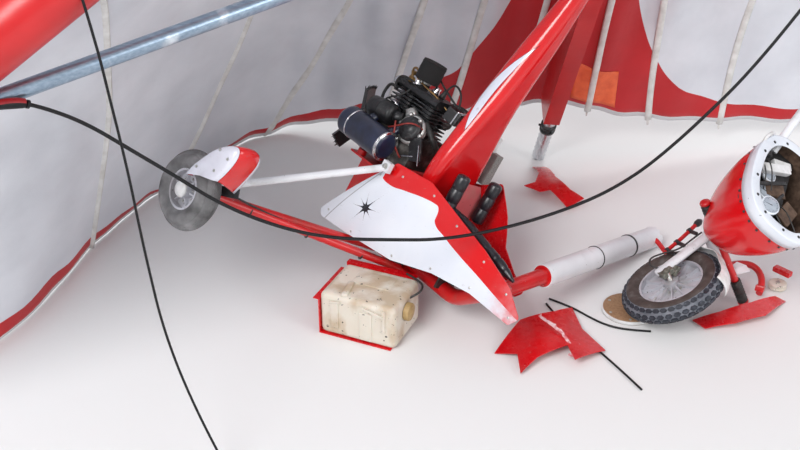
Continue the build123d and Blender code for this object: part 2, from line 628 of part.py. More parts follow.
# Right main wheel, its twin leg, lift strut and spat
right_hub = Vector(-335, -857, -72)
right_wheel_place = rear_place * Pos(*right_hub)
rear_tyre, rear_rim = turned_wheel(REAR_TYRE_DIAMETER, REAR_TYRE_WIDTH, REAR_RIM_DIAMETER)
keep("rear_tyre_right", right_wheel_place * rear_tyre)
keep("rear_rim_right", right_wheel_place * rear_rim)
lug_y = REAR_TYRE_WIDTH / 2 + 2 * RUN_GAP + LEG_LUG[1] / 2
leg_end = right_hub + Vector(0, lug_y, 0)
leg_right = Pos(*leg_end) * Box(*LEG_LUG)
for leg_x in (LEG_FRONT_X, LEG_FRONT_X - LEG_SPREAD):
    leg_right += tube((leg_x, -LEG_BRACKET[1] / 2 + 20, bracket_z), leg_end, LEG_DIAMETER)
bracket_room = Pos(LEG_FRONT_X - LEG_SPREAD / 2, 0, bracket_z) * Box(
    LEG_BRACKET[0] + 60, LEG_BRACKET[1] + 2 * SEAT_GAP, 4 * LEG_BRACKET[2])
leg_right -= bracket_room
stub_length = lug_y + REAR_TYRE_WIDTH / 2
stub_middle = right_hub + Vector(0, lug_y - stub_length / 2, 0)
leg_right += Pos(*stub_middle) * Rot(X=90) * Cylinder(AXLE_DIAMETER / 2, stub_length)
keep("leg_right", rear_place * leg_right)
strut_foot = leg_end + Vector(0, 0, LEG_LUG[2] / 2 + SEAT_GAP)
strut_top = Vector(REAR_STAY_AT[0], -STRUT_TOP_OUT - SEAT_GAP, REAR_STAY_AT[2])
strut = tube(strut_foot, strut_top, STRUT_DIAMETER)
strut += Pos(strut_top.X, strut_top.Y - STRUT_LUG_WIDTH / 2, strut_top.Z) * Box(40, STRUT_LUG_WIDTH, 40)
strut -= Pos(*REAR_STAY_AT) * Box(80, 2 * STRUT_TOP_OUT + 2 * SEAT_GAP, 80)
strut -= Pos(*leg_end) * Box(4 * LEG_LUG[0], 4 * LEG_LUG[1], LEG_LUG[2] + 2 * SEAT_GAP)
keep("lift_strut_right", rear_place * strut)
spat_half = SPAT_WIDTH / 2
spat_in = SPAT_RADIUS - SPAT_EDGE
spat_arc = make_face(Wire([
    Edge.make_three_point_arc((spat_in, -spat_half), (SPAT_RADIUS, 0), (spat_in, spat_half)),
    Edge.make_line((spat_in, spat_half), (spat_in, spat_half - SHELL)),
    Edge.make_three_point_arc(
        (spat_in, spat_half - SHELL), (SPAT_RADIUS - SHELL, 0), (spat_in, -spat_half + SHELL)),
    Edge.make_line((spat_in, -spat_half + SHELL), (spat_in, -spat_half)),
]))
spat = Rot(Y=-SPAT_SWEEP / 2) * revolve(spat_arc, Axis.Y, SPAT_SWEEP)
bracket_reach = SPAT_RADIUS - SPAT_EDGE + SHELL + SPAT_SLIP
spat_bracket = Pos(bracket_reach / 2 - SPAT_SLIP, spat_half - SHELL / 2, 0) * Box(bracket_reach, SHELL, 40)
spat = Rot(Y=SPAT_START + SPAT_SWEEP / 2) * Pos(SPAT_SLIP, 0, 0) * (spat + spat_bracket)
lug_room = Box(*(side + 2 * SEAT_GAP for side in LEG_LUG))
spat -= Pos(0, lug_y, 0) * lug_room
spat -= tube(strut_foot - right_hub, strut_top - right_hub, STRUT_DIAMETER + 2 * SEAT_GAP)
spat = right_wheel_place * spat - nodes["leg_right"]
keep("spat_right", max(spat.solids(), key=lambda solid: solid.volume))

# Left main wheel, folded under on its broken leg
keep("rear_tyre_left", left_wheel_place * rear_tyre)
keep("rear_rim_left", left_wheel_place * rear_rim)
left_root = point(rear_place, (LEG_FRONT_X, LEG_BRACKET[1] / 2 + SEAT_GAP, bracket_z))
left_end = point(left_wheel_place, (0, -lug_y, 0))
left_elbow = Vector(330, -310, 150)
leg_left = tube(left_root, left_elbow, LEG_DIAMETER) + tube(left_elbow, left_end, LEG_DIAMETER)
leg_left += Pos(*left_elbow) * Sphere(LEG_DIAMETER / 2)
fairing_left -= tube(left_root, left_elbow, LEG_DIAMETER + 12)
fairing_left -= tube(left_elbow, left_end, LEG_DIAMETER + 12)
keep("side_fairing_left", max(fairing_left.solids(), key=lambda solid: solid.volume))
left_stub = Pos(0, -lug_y + stub_length / 2, 0) * Rot(X=90) * Cylinder(AXLE_DIAMETER / 2, stub_length)
leg_left += left_wheel_place * left_stub
keep("leg_left", leg_left - rear_place * bracket_room)

# Front wheel, fork and foot bar
front_tyre, front_rim = turned_wheel(FRONT_TYRE_DIAMETER, FRONT_TYRE_WIDTH, FRONT_RIM_DIAMETER)
keep("front_tyre", front_place * front_tyre)
keep("front_rim", front_place * front_rim)
fork_y = FRONT_TYRE_WIDTH / 2 + 2 * RUN_GAP + FORK_BLADE[1] / 2
fork_width = 2 * fork_y + FORK_BLADE[1]
fork = Rot(X=90) * Cylinder(AXLE_DIAMETER / 2, fork_width + 20)
for sign in (-1, 1):
    fork += Pos(30 - FORK_BLADE[0] / 2, sign * fork_y, 0) * Box(*FORK_BLADE)
fork += Pos(FORK_CROWN_X + CROWN_LENGTH / 2, 0, 0) * Box(CROWN_LENGTH, fork_width, FORK_BLADE[2])
stem_x = FORK_CROWN_X - STEM_LENGTH / 2
fork += Pos(stem_x, 0, 0) * Rot(Y=90) * Cylinder(STEM_DIAMETER / 2, STEM_LENGTH)
fork_place = front_place * Rot(Y=FORK_TURN)
keep("front_fork", fork_place * fork)
foot_bar_z = (FORK_BLADE[2] + FOOT_BAR_DIAMETER) / 2 + SEAT_GAP
foot_bar_place = fork_place * Pos(FORK_CROWN_X + CROWN_LENGTH / 2, -FOOT_BAR_SHIFT, foot_bar_z) * Rot(X=90)
keep("foot_bar", foot_bar_place * Cylinder(FOOT_BAR_DIAMETER / 2, FOOT_BAR_LENGTH))
peg = Cylinder(PEG_DIAMETER / 2, PEG_LENGTH) - Cylinder(FOOT_BAR_DIAMETER / 2 + SHAFT_GAP, 2 * PEG_LENGTH)
peg_out = (FOOT_BAR_LENGTH - PEG_LENGTH) / 2
keep("foot_pegs", foot_bar_place * (Pos(0, 0, -peg_out) * peg + Pos(0, 0, peg_out) * peg))

# Nose pod, a hollow hull open at the cockpit end, with a white edge trim
# Columns: share of the length from the tip, of the width, of the height
pod_stations = (
    (0, 0.13, 0.13),
    (0.04, 0.31, 0.29),
    (0.12, 0.49, 0.46),
    (0.25, 0.67, 0.63),
    (0.42, 0.82, 0.79),
    (0.65, 0.94, 0.92),
    (1, 1, 1),
)


def pod_section(width, height, plane_at):
    plane = Plane(origin=(plane_at, 0, 0), x_dir=(0, 1, 0), z_dir=(1, 0, 0))
    return plane * RectangleRounded(width, height, min(width, height) * 0.42)


outer_sections = []
inner_sections = []
for run, wide, high in pod_stations:
    width = POD_WIDTH * wide
    height = POD_HEIGHT * high
    at = POD_LENGTH * run
    outer_sections.append(pod_section(width, height, at))
    inner_sections.append(pod_section(width - 2 * SHELL, height - 2 * SHELL, at + (1 + run) * SHELL))
pod_outer = loft(outer_sections, ruled=True)
pod_inner = loft(inner_sections, ruled=True)
bar_way = (bar_points[1] - bar_points[0]).normalized()
bar_room = tube(bar_points[0] - bar_way * 30, bar_points[1], CONTROL_BAR_DIAMETER + 2 * SEAT_GAP)
pod_shell = pod_place * (pod_outer - pod_inner) - bar_room
for name in ("front_fork", "foot_bar", "foot_pegs"):
    pod_shell -= nodes[name]
keep("pod_shell", max(pod_shell.solids(), key=lambda solid: solid.volume))
trim_in = 2 * SEAT_GAP
trim_out = trim_in + 2 * SHELL
trim = pod_section(POD_WIDTH + trim_out, POD_HEIGHT + trim_out, 0)
trim -= pod_section(POD_WIDTH + trim_in, POD_HEIGHT + trim_in, 0)
pod_trim = Pos(POD_LENGTH - POD_TRIM, 0, 0) * extrude(trim, amount=POD_TRIM)
keep("pod_trim", pod_place * (pod_trim - pod_outer) - bar_room)

# Instrument panel across the pod, with its gauge and radio
panel_x = POD_LENGTH - PANEL_INSET
panel = Pos(panel_x, 0, POD_HEIGHT * 0.16) * Box(SHELL, POD_WIDTH, POD_HEIGHT * 0.56) & pod_inner
for gauge_y in (-GAUGE_DIAMETER * 0.7, GAUGE_DIAMETER * 0.7):
    gauge_at = (panel_x + SHELL / 2 + 8, gauge_y, POD_HEIGHT * 0.2)
    panel += Pos(*gauge_at) * Rot(Y=90) * Cylinder(GAUGE_DIAMETER / 2, 16)
keep("instrument_panel", pod_place * panel)

# Fuel tank, tipped out of its red tray
tank = fillet(Box(*TANK_SIZE).edges(), TANK_ROUND)
keep("fuel_tank", tank_place * tank)
cap_at = (TANK_SIZE[0] / 2 + SEAT_GAP, -20, 30)
cap = Pos(0, 0, CAP_HEIGHT / 2) * Cylinder(CAP_DIAMETER / 2, CAP_HEIGHT)
keep("tank_cap", tank_place * Pos(*cap_at) * Rot(Y=90) * cap)
tray_long = TANK_SIZE[0] * 0.94
tray_deep = TANK_SIZE[1]
tray_floor = -TANK_SIZE[2] / 2 - SEAT_GAP - TRAY_WALL
back_y = tray_deep / 2 + SEAT_GAP
end_x = -TANK_SIZE[0] / 2 - SEAT_GAP
tray = Pos(end_x + tray_long / 2, 0, tray_floor + TRAY_WALL / 2) * Box(tray_long, tray_deep, TRAY_WALL)
tray += Pos(end_x - TRAY_WALL / 2, TRAY_WALL / 2, tray_floor + TRAY_HEIGHT / 2) * Box(
    TRAY_WALL, tray_deep + TRAY_WALL + 2 * SEAT_GAP, TRAY_HEIGHT)
tray += Pos(end_x + tray_long / 2, back_y + TRAY_WALL / 2, tray_floor + TANK_SIZE[2] / 2) * Box(
    tray_long, TRAY_WALL, TANK_SIZE[2])
tray += Pos(end_x - TRAY_LIP / 2, TRAY_WALL / 2, tray_floor + TRAY_HEIGHT) * Box(
    TRAY_LIP, tray_deep, TRAY_WALL)
tray += Pos(end_x + tray_long / 2, back_y + TRAY_LIP / 2, tray_floor + TANK_SIZE[2]) * Box(
    tray_long, TRAY_LIP, TRAY_WALL)
keep("tank_tray", tank_place * tray)

# Torn shell fragments, each a piece of a bulged sheet with a broken outline
# Columns: where it lies, outline on the ground, heading of the bulge, bulge height
fragments = (
    ("beside the keel",
     ((640, 557), (698, 557), (722, 350), (776, 228), (831, 166), (750, 110),
      (685, 228), (638, 213), (569, 261), (623, 291), (653, 401)), 90, 70),
    ("beside the nose",
     ((348, -949), (455, -789), (595, -722), (671, -660), (687, -822), (755, -949),
      (629, -1040), (614, -949), (497, -1016), (431, -1085), (428, -980)), 20, 80),
    ("long strip",
     ((1122, -746), (1234, -719), (1365, -661), (1486, -580), (1521, -608), (1400, -746),
      (1272, -796), (1156, -805)), 20, 40),
)
torn_pieces = []
for place, outline, heading, bulge in fragments:
    middle = Vector(sum(x for x, y in outline) / len(outline), sum(y for x, y in outline) / len(outline))
    span = 2 * max((Vector(x, y) - middle).length for x, y in outline) + 40
    drop = span / 2
    arch = make_face(Wire([
        Edge.make_three_point_arc((-drop, 0), (0, bulge), (drop, 0)),
        Edge.make_line((drop, 0), (drop, -SHELL)),
        Edge.make_three_point_arc((drop, -SHELL), (0, bulge - SHELL), (-drop, -SHELL)),
        Edge.make_line((-drop, -SHELL), (-drop, 0)),
    ]))
    sheet = extrude(Plane.XZ * arch, amount=span / 2, both=True)
    sheet = Pos(middle.X, middle.Y, 0) * Rot(Z=heading) * sheet
    piece = sheet & extrude(make_face(Polyline(*outline, close=True)), amount=400, both=True)
    piece = max(piece.solids(), key=lambda solid: solid.volume)
    torn_pieces.append(Pos(0, 0, -piece.bounding_box().min.Z) * piece)
keep("shell_fragments", Compound(torn_pieces))

# Round board under the front tyre
board = Pos(0, 0, BOARD_THICKNESS / 2) * Cylinder(BOARD_DIAMETER / 2, BOARD_THICKNESS)
keep("loose_disc", Pos(*DISC_AT) * board)

# Slack rigging: the long cable that sags across the trike and one that hangs to the ground
long_route = (
    (-1169, -1498, 1220), (-1082, -1455, 1236), (-1010, -1398, 1192), (-910, -1340, 1115),
    (-800, -1295, 1005), (-685, -1250, 893), (-580, -1210, 785), (-455, -1160, 687),
    (-315, -1110, 608), (-175, -1055, 554), (-25, -995, 516), (125, -940, 483), (275, -880, 472),
    (430, -820, 478), (580, -760, 496), (730, -705, 532), (870, -650, 593), (995, -600, 680),
    (1115, -555, 783), (1230, -510, 890), (1335, -465, 1006), (1430, -430, 1130),
    (1500, -395, 1215), (1560, -340, 1250), (1590, -282, 1214))
keep("cable_long", cable(long_route, CABLE_DIAMETER))
hanging_route = (
    (-835, -1452, 1524), (-807, -1477, 1400), (-791, -1485, 1264), (-774, -1493, 1127),
    (-760, -1500, 993), (-750, -1505, 852), (-736, -1511, 703), (-719, -1519, 552),
    (-689, -1535, 415), (-651, -1555, 292), (-612, -1574, 186), (-574, -1595, 98),
    (-538, -1625, 34), (-505, -1675, 5), (-478, -1750, 4), (-462, -1830, 4))
keep("cable_hanging", cable(hanging_route, HANGING_DIAMETER))

# Two control cables that lie on the ground
lie = CONTROL_CABLE_DIAMETER / 2
front_route = (
    (575, -625, lie), (606, -715, lie), (650, -800, lie), (702, -872, lie), (744, -955, lie),
    (795, -1050, lie), (850, -1165, lie))
side_route = (
    (590, -590, lie), (666, -643, lie), (724, -710, lie), (782, -768, lie), (855, -802, lie),
    (950, -812, lie))
keep("control_cable_front", cable(front_route, CONTROL_CABLE_DIAMETER))
keep("control_cable_side", cable(side_route, CONTROL_CABLE_DIAMETER))

# Everything is set down with its origin under the middle of the whole wreck
boxes = [shape.bounding_box() for shape in nodes.values()]
middle_x = (min(box.min.X for box in boxes) + max(box.max.X for box in boxes)) / 2
middle_y = (min(box.min.Y for box in boxes) + max(box.max.Y for box in boxes)) / 2
lowest = min(box.min.Z for box in boxes)
set_down = Pos(-middle_x, -middle_y, -lowest)
os.makedirs("parts", exist_ok=True)
for name, shape in nodes.items():
    export_step(set_down * shape, f"parts/{name}.step")
print("set down by", set_down.position)
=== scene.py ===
import json
import math
import random

import bmesh
import bpy
from mathutils import Euler, Matrix, Vector


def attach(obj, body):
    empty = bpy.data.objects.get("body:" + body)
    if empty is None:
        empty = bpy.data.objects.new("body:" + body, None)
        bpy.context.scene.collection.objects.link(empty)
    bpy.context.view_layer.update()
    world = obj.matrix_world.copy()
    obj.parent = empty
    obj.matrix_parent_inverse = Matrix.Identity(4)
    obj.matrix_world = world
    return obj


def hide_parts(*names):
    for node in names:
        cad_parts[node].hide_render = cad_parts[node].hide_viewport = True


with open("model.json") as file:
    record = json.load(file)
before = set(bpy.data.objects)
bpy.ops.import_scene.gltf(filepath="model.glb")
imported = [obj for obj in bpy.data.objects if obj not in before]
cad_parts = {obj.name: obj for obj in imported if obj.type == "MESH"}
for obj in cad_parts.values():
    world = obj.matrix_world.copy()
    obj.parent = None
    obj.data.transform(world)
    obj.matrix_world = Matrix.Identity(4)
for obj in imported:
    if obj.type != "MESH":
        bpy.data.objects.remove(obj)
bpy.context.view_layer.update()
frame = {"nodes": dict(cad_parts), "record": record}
nodes = frame["nodes"]

# The photograph's own frame. The front wheel's hub lay at a measured place on the ground, and
# every place below is given from that same ground point, in millimetres, and moved by this much.
hub_joint = next(j for j in frame["record"]["behaviour"]["joints"] if j["name"] == "front_wheel_spin")
set_down = Vector(hub_joint["pos_m"]) - Vector((1.044, -0.692, 0.128))


def at(x, y, z):
    return Vector((x, y, z)) / 1000 + set_down


# Wing tubes: the keel, both leading edges and their nose plates are bare drawn aluminium tube and
# plate, dull from handling, with fine drawing lines along them.
def material(name):
    made = bpy.data.materials.new(name)
    made.use_nodes = True
    tree = made.node_tree
    shader = tree.nodes["Principled BSDF"]
    return made, tree, shader


def noise_of(tree, scale, detail=4.0, stretch=(1, 1, 1)):
    where = tree.nodes.new("ShaderNodeTexCoord")
    mapped = tree.nodes.new("ShaderNodeMapping")
    mapped.inputs["Scale"].default_value = stretch
    noise = tree.nodes.new("ShaderNodeTexNoise")
    noise.inputs["Scale"].default_value = scale
    noise.inputs["Detail"].default_value = detail
    tree.links.new(where.outputs["Object"], mapped.inputs["Vector"])
    tree.links.new(mapped.outputs["Vector"], noise.inputs["Vector"])
    return noise.outputs["Fac"]


def ramp_of(tree, value, stops):
    ramp = tree.nodes.new("ShaderNodeValToRGB")
    for number, (place, colour) in enumerate(stops):
        if number < 2:
            stop = ramp.color_ramp.elements[number]
            stop.position = place
        else:
            stop = ramp.color_ramp.elements.new(place)
        stop.color = (*colour, 1)
    tree.links.new(value, ramp.inputs["Fac"])
    return ramp.outputs["Color"]


def bumped(tree, shader, value, distance, strength=0.5):
    bump = tree.nodes.new("ShaderNodeBump")
    bump.inputs["Distance"].default_value = distance
    bump.inputs["Strength"].default_value = strength
    tree.links.new(value, bump.inputs["Height"])
    tree.links.new(bump.outputs["Normal"], shader.inputs["Normal"])


def set_on(shader, **settings):
    for socket, value in settings.items():
        shader.inputs[socket.replace("_", " ")].default_value = value


def grained(name, grain, stops, bump, **settings):
    """A finish with one grain in its colour and its relief: grain is scale, detail and stretch,
    stops are shares and colours, bump is distance and strength."""
    made, tree, shader = material(name)
    value = noise_of(tree, *grain)
    tree.links.new(ramp_of(tree, value, stops), shader.inputs["Base Color"])
    set_on(shader, **settings)
    bumped(tree, shader, value, *bump)
    return made


def dress(finish, *names):
    for name in names:
        mesh = nodes[name].data
        mesh.materials.clear()
        mesh.materials.append(finish)


bare_tube = grained("bare_drawn_tube", (60, 5, (1, 1, 0.12)),
                    ((0.3, (0.52, 0.53, 0.56)), (0.7, (0.74, 0.75, 0.77))), (0.0004,), Metallic=0.9,
                    Roughness=0.34)
dress(bare_tube, "keel_tube", "leading_edge_tubes", "nose_plates", "hang_block")

# Keel end: a black clamp ring holds the sail back on the bare tube, and a row of rivets closes
# the doubled end of the tube.
black_plastic = grained("black_moulded_plastic", (180, 6),
                        ((0.35, (0.012, 0.012, 0.013)), (0.75, (0.05, 0.05, 0.052))), (0.0003,),
                        Roughness=0.42)


def piece(name, build, finish, body, smooth=True):
    """A mesh piece from a bmesh, given its finish and the body that it rides on."""
    mesh = bpy.data.meshes.new(name)
    build.to_mesh(mesh)
    build.free()
    made = bpy.data.objects.new(name, mesh)
    bpy.context.scene.collection.objects.link(made)
    for one in (finish if isinstance(finish, (list, tuple)) else [finish]):
        mesh.materials.append(one)
    if smooth:
        for face in mesh.polygons:
            face.use_smooth = True
    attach(made, body)
    return made


def face_out(build):
    bmesh.ops.recalc_face_normals(build, faces=build.faces)


def round_row(build, middle, one_way, other_way, sides):
    """A round or oval row of corners, its half widths given by two ways across it."""
    return [build.verts.new(middle + one_way * math.cos(a) + other_way * math.sin(a))
            for a in (2 * math.pi * k / sides for k in range(sides))]


def skin(build, rows, closed=True, ended=True):
    """Faces from row to row: closed rows run round, ended ones get a face at both ends."""
    for low, high in zip(rows, rows[1:]):
        for k in range(len(low) if closed else len(low) - 1):
            n = (k + 1) % len(low)
            build.faces.new((low[k], low[n], high[n], high[k]))
    if ended:
        build.faces.new(list(reversed(rows[0])))
        build.faces.new(rows[-1])


def ring_along(build, start, end, radii, sides=24):
    """A turned form along a line: radii is a list of (share of the length, radius in metres)."""
    way = end - start
    side = way.orthogonal().normalized()
    other = way.cross(side).normalized()
    skin(build, [round_row(build, start + way * share, side * radius, other * radius, sides)
                 for share, radius in radii])


keel_foot = at(678, 658, 13.8)
keel_way = Vector((335, -1480, 2930)).normalized()
wing_up = Vector((0, keel_way.z, -keel_way.y)).normalized()
wing_nose = keel_foot + keel_way * 3.3
clamp = bmesh.new()
clamp_at = keel_foot + keel_way * 0.205
ring_along(clamp, clamp_at, clamp_at + keel_way * 0.05, ((0, 0.031), (0.02, 0.037), (0.3, 0.038),
                                                         (0.34, 0.035), (0.62, 0.035), (0.66, 0.038),
                                                         (0.98, 0.037), (1, 0.031)), 40)
for turn in range(3):
    bolt_side = Matrix.Rotation(2.1 * turn, 4, keel_way) @ keel_way.orthogonal().normalized()
    bolt_from = clamp_at + keel_way * 0.024 + bolt_side * 0.03
    ring_along(clamp, bolt_from, bolt_from + bolt_side * 0.016, ((0, 0.006), (0.85, 0.006), (1, 0.0045)), 10)
piece("keel_end_clamp", clamp, black_plastic, "root")
rivets = bmesh.new()
for share in range(5):
    for turn in range(4):
        out = Matrix.Rotation(math.pi / 2 * turn + 0.4, 4, keel_way) @ keel_way.orthogonal().normalized()
        foot = keel_foot + keel_way * (0.022 + 0.034 * share) + out * 0.0296
        ring_along(rivets, foot, foot + out * 0.0026, ((0, 0.0042), (0.6, 0.0038), (1, 0.002)), 10)
piece("keel_end_rivets", rivets, bare_tube, "root")

# Crossbar halves: anodised tube with a blue cast. Pale patches on it stand for stickers and for
# glare: partly painted highlights in the colour.
def mixed(tree, factor, low, high):
    mix = tree.nodes.new("ShaderNodeMix")
    mix.data_type = "RGBA"
    tree.links.new(factor, mix.inputs["Factor"])
    for socket, colour in (("A", low), ("B", high)):
        target = next(i for i in mix.inputs if i.name == socket and i.type == "RGBA")
        if isinstance(colour, tuple):
            target.default_value = (*colour, 1)
        else:
            tree.links.new(colour, target)
    return next(o for o in mix.outputs if o.type == "RGBA")


crossbar_blue, tree, shader = material("anodised_crossbar")
scuff_and_glare_pattern = noise_of(tree, 9, 6, (1, 1, 1))
grain = noise_of(tree, 120, 4, (0.2, 1, 1))
blue = ramp_of(tree, grain, ((0.3, (0.24, 0.32, 0.42)), (0.7, (0.36, 0.45, 0.55))))
# Pale patches mixed into the blue: partly stickers, partly painted highlights (glare).
glare_and_sticker_patches = ramp_of(tree, scuff_and_glare_pattern, ((0.56, (0, 0, 0)), (0.66, (1, 1, 1))))
tree.links.new(mixed(tree, glare_and_sticker_patches, blue, (0.72, 0.78, 0.84)), shader.inputs["Base Color"])
set_on(shader, Metallic=0.75, Roughness=0.3)
bumped(tree, shader, grain, 0.0004)
dress(crossbar_blue, "crossbars")

# Leading edge pockets and the keel pocket: red polyester sailcloth laid over a stiff foam-backed
# film, pulled tight round the tubes, with a glossy coated face and short cross wrinkles.
red_cloth, tree, shader = material("red_sailcloth")
broad = noise_of(tree, 5, 3)
tree.links.new(ramp_of(tree, broad, ((0.25, (0.46, 0.004, 0.006)), (0.75, (0.62, 0.010, 0.012)))),
               shader.inputs["Base Color"])
wrinkle = noise_of(tree, 14, 5, (0.35, 1, 1))
set_on(shader, Roughness=0.33, Coat_Weight=0.3, Coat_Roughness=0.25)
bumped(tree, shader, wrinkle, 0.006, 0.35)
dress(red_cloth, "leading_edge_pocket_left", "leading_edge_pocket_right", "keel_pocket")

# Sail halves: one thin sheet of coated polyester each, sewn from panels and billowed between the
# battens. White outer panels, a red centre that curves out into a red band along the trailing edge.
rib_table = {
    "left": ((600, 330, 760, 190, 230), (1000, -150, 872, 110, 260), (1350, -660, 930, 10, 260),
             (1800, -1042, 426, 0, 230), (2400, -1293, -129, 0, 180), (3100, -1500, -863, 0, 110),
             (4000, -2050, -1300, 0, 70), (4700, -2650, -1700, 0, 30)),
    "right": ((700, 1230, 720, 180, 220), (1500, 2009, 862, 100, 240), (2500, 3000, 930, 60, 200),
              (3600, 4200, 880, 30, 120), (4800, 5180, 780, 0, 40)),
}
edge_way = {"left": Vector((-3892, -1130, -2845)).normalized(),
            "right": Vector((4287, 1422, -2845)).normalized()}
edge_length = {"left": 4.95, "right": 5.338}
batten_at = {
    "left": ((0.26, 0.42), (0.94, 1.20), (1.58, 1.86), (2.28, 3.06), (3.52, 4.08), (4.96, 5.12), (6.1, 6.16),
             (7.1, 7.12)),
    "right": ((0.28, 0.40), (0.70, 0.97), (1.38, 1.49), (2.0, 2.05), (2.6, 2.66), (3.2, 3.24), (3.9, 3.92),
              (4.5, 4.5)),
}


FOLD_HIGH = 0.007
CLOTH_ABOVE_FLOOR = 0.006
POCKET_RADIUS_NOSE, POCKET_RADIUS_TIP = 0.105, 0.0825
POCKET_STARTS = 0.27


def smooth_between(rows, u):
    """A smooth run through the rows, u counting rows."""
    low = min(int(u), len(rows) - 2)
    t = u - low
    a, b = rows[low], rows[low + 1]
    before = rows[low - 1] if low else a * 2 - b
    after = rows[low + 2] if low + 2 < len(rows) else b * 2 - a
    square = before * 2 - a * 5 + b * 4 - after
    cube = a * 3 - before - b * 3 + after
    return (a * 2 + (b - before) * t + square * t * t + cube * t * t * t) * 0.5


def rib_rows(side):
    rows = [(keel_foot + keel_way * 3.0 + wing_up * 0.052, keel_foot + keel_way * 0.27 + wing_up * 0.120,
             0.150)]
    way = edge_way[side]
    for run, x, y, z, billow in rib_table[side]:
        centre = wing_nose + way * (run / 1000)
        rear = at(x, y, z + 2)
        chord = rear - centre
        square = (chord - way * chord.dot(way)).normalized()
        share = (run / 1000 - POCKET_STARTS) / (edge_length[side] - POCKET_STARTS)
        radius = POCKET_RADIUS_NOSE + (POCKET_RADIUS_TIP - POCKET_RADIUS_NOSE) * share
        rows.append((centre + (square * 0.94 + wing_up * 0.34).normalized() * (radius + 0.004), rear,
                     billow / 1000))
    return rows


def on_sail(rows, side, u, v, over=0.0):
    front = smooth_between([row[0] for row in rows], u)
    rear = smooth_between([row[1] for row in rows], u)
    billow = smooth_between([row[2] for row in rows], u)
    slack = 0.0
    lines = [a + (b - a) * v for a, b in batten_at[side]]
    for low, high in zip([0.0] + lines, lines):
        if low < u < high:
            slack = math.sin(math.pi * (u - low) / (high - low)) ** 2 * min(0.030, 0.05 * (high - low))
    slack *= math.sin(math.pi * min(1, 0.12 + v * 0.8))
    turn = 2 * math.pi
    folds = FOLD_HIGH * (math.sin(turn * (2.6 * u + 1.9 * v)) + math.sin(turn * (1.7 * u - 2.6 * v) + 1.3))
    here = front.lerp(rear, v) + wing_up * (4 * v * (1 - v) * billow + slack + folds * min(1, 5 * v) + over)
    here.z = max(here.z, CLOTH_ABOVE_FLOOR)
    return here


sailcloth, tree, shader = material("panelled_sailcloth")
cut = tree.nodes.new("ShaderNodeUVMap")
split = tree.nodes.new("ShaderNodeSeparateXYZ")
tree.links.new(cut.outputs["UV"], split.inputs["Vector"])


def math_node(tree, operation, first, second=None):
    made = tree.nodes.new("ShaderNodeMath")
    made.operation = operation
    for number, value in enumerate((first, second)):
        if value is None:
            continue
        if isinstance(value, (int, float)):
            made.inputs[number].default_value = value
        else:
            tree.links.new(value, made.inputs[number])
    return made.outputs[0]


along, chordwise = split.outputs["X"], split.outputs["Y"]
centre_edge = tree.nodes.new("ShaderNodeFloatCurve")
curve = centre_edge.mapping.curves[0]
curve.points[0].location = (0.0, 0.40)
curve.points[1].location = (1.0, 0.94)
for x, y in ((0.06, 0.62), (0.112, 0.76), (0.146, 0.83), (0.176, 0.875), (0.208, 0.915), (0.264, 0.95),
             (0.396, 0.97), (0.70, 0.984), (0.86, 0.96)):
    curve.points.new(x, y)
centre_edge.mapping.update()
tree.links.new(math_node(tree, "MULTIPLY", along, 0.2), centre_edge.inputs["Value"])
is_red = math_node(tree, "GREATER_THAN", chordwise, centre_edge.outputs["Value"])
is_hem = math_node(tree, "GREATER_THAN", chordwise, 0.992)
crease_relief_and_shade = noise_of(tree, 3.2, 4, (1, 0.6, 1))
fine = noise_of(tree, 160, 3)
# The crease noise also sets the tone of white and red: its darker patches are partly dirt and partly painted
# shade in the folds.
white = ramp_of(tree, crease_relief_and_shade, ((0.28, (0.60, 0.62, 0.67)), (0.72, (0.78, 0.80, 0.85))))
red = ramp_of(tree, crease_relief_and_shade, ((0.28, (0.42, 0.004, 0.008)), (0.72, (0.58, 0.008, 0.014))))
panelled = mixed(tree, is_red, white, red)
tree.links.new(mixed(tree, is_hem, panelled, (0.72, 0.72, 0.74)), shader.inputs["Base Color"])
set_on(shader, Roughness=0.55, Sheen_Weight=0.12)
bumped(tree, shader, math_node(tree, "ADD", crease_relief_and_shade, math_node(tree, "MULTIPLY", fine, 0.03)), 0.02, 0.5)


def thicken(made, thickness, offset):
    wall = made.modifiers.new("wall", "SOLIDIFY")
    wall.thickness = thickness
    wall.offset = offset
    return wall


RED_CENTRE_STRETCH = {"left": 0.8, "right": 1.0}
ROWS_PER_RIB, ROWS_DOWN = 16, 56
sails = {}
for side in ("left", "right"):
    rows = rib_rows(side)
    count = len(rows) - 1
    across, down = count * ROWS_PER_RIB, ROWS_DOWN
    cloth = bmesh.new()
    uv_layer = cloth.loops.layers.uv.new("cut")
    grid = []
    for i in range(across + 1):
        u = i / ROWS_PER_RIB
        grid.append([(cloth.verts.new(on_sail(rows, side, u, j / down)), u, j / down)
                     for j in range(down + 1)])
    for i in range(across):
        for j in range(down):
            corners = [grid[i][j], grid[i + 1][j], grid[i + 1][j + 1], grid[i][j + 1]]
            if side == "right":
                corners.reverse()
            face = cloth.faces.new([c[0] for c in corners])
            for loop, c in zip(face.loops, corners):
                loop[uv_layer].uv = (c[1] * RED_CENTRE_STRETCH[side], c[2])
    area = sum(face.calc_area() for face in cloth.faces)
    sail = piece("sail_cloth_" + side, cloth, sailcloth, "root")
    thicken(sail, 0.002, 0)
    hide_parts("sail_" + side)
    sails[side] = (sail, rows, area)

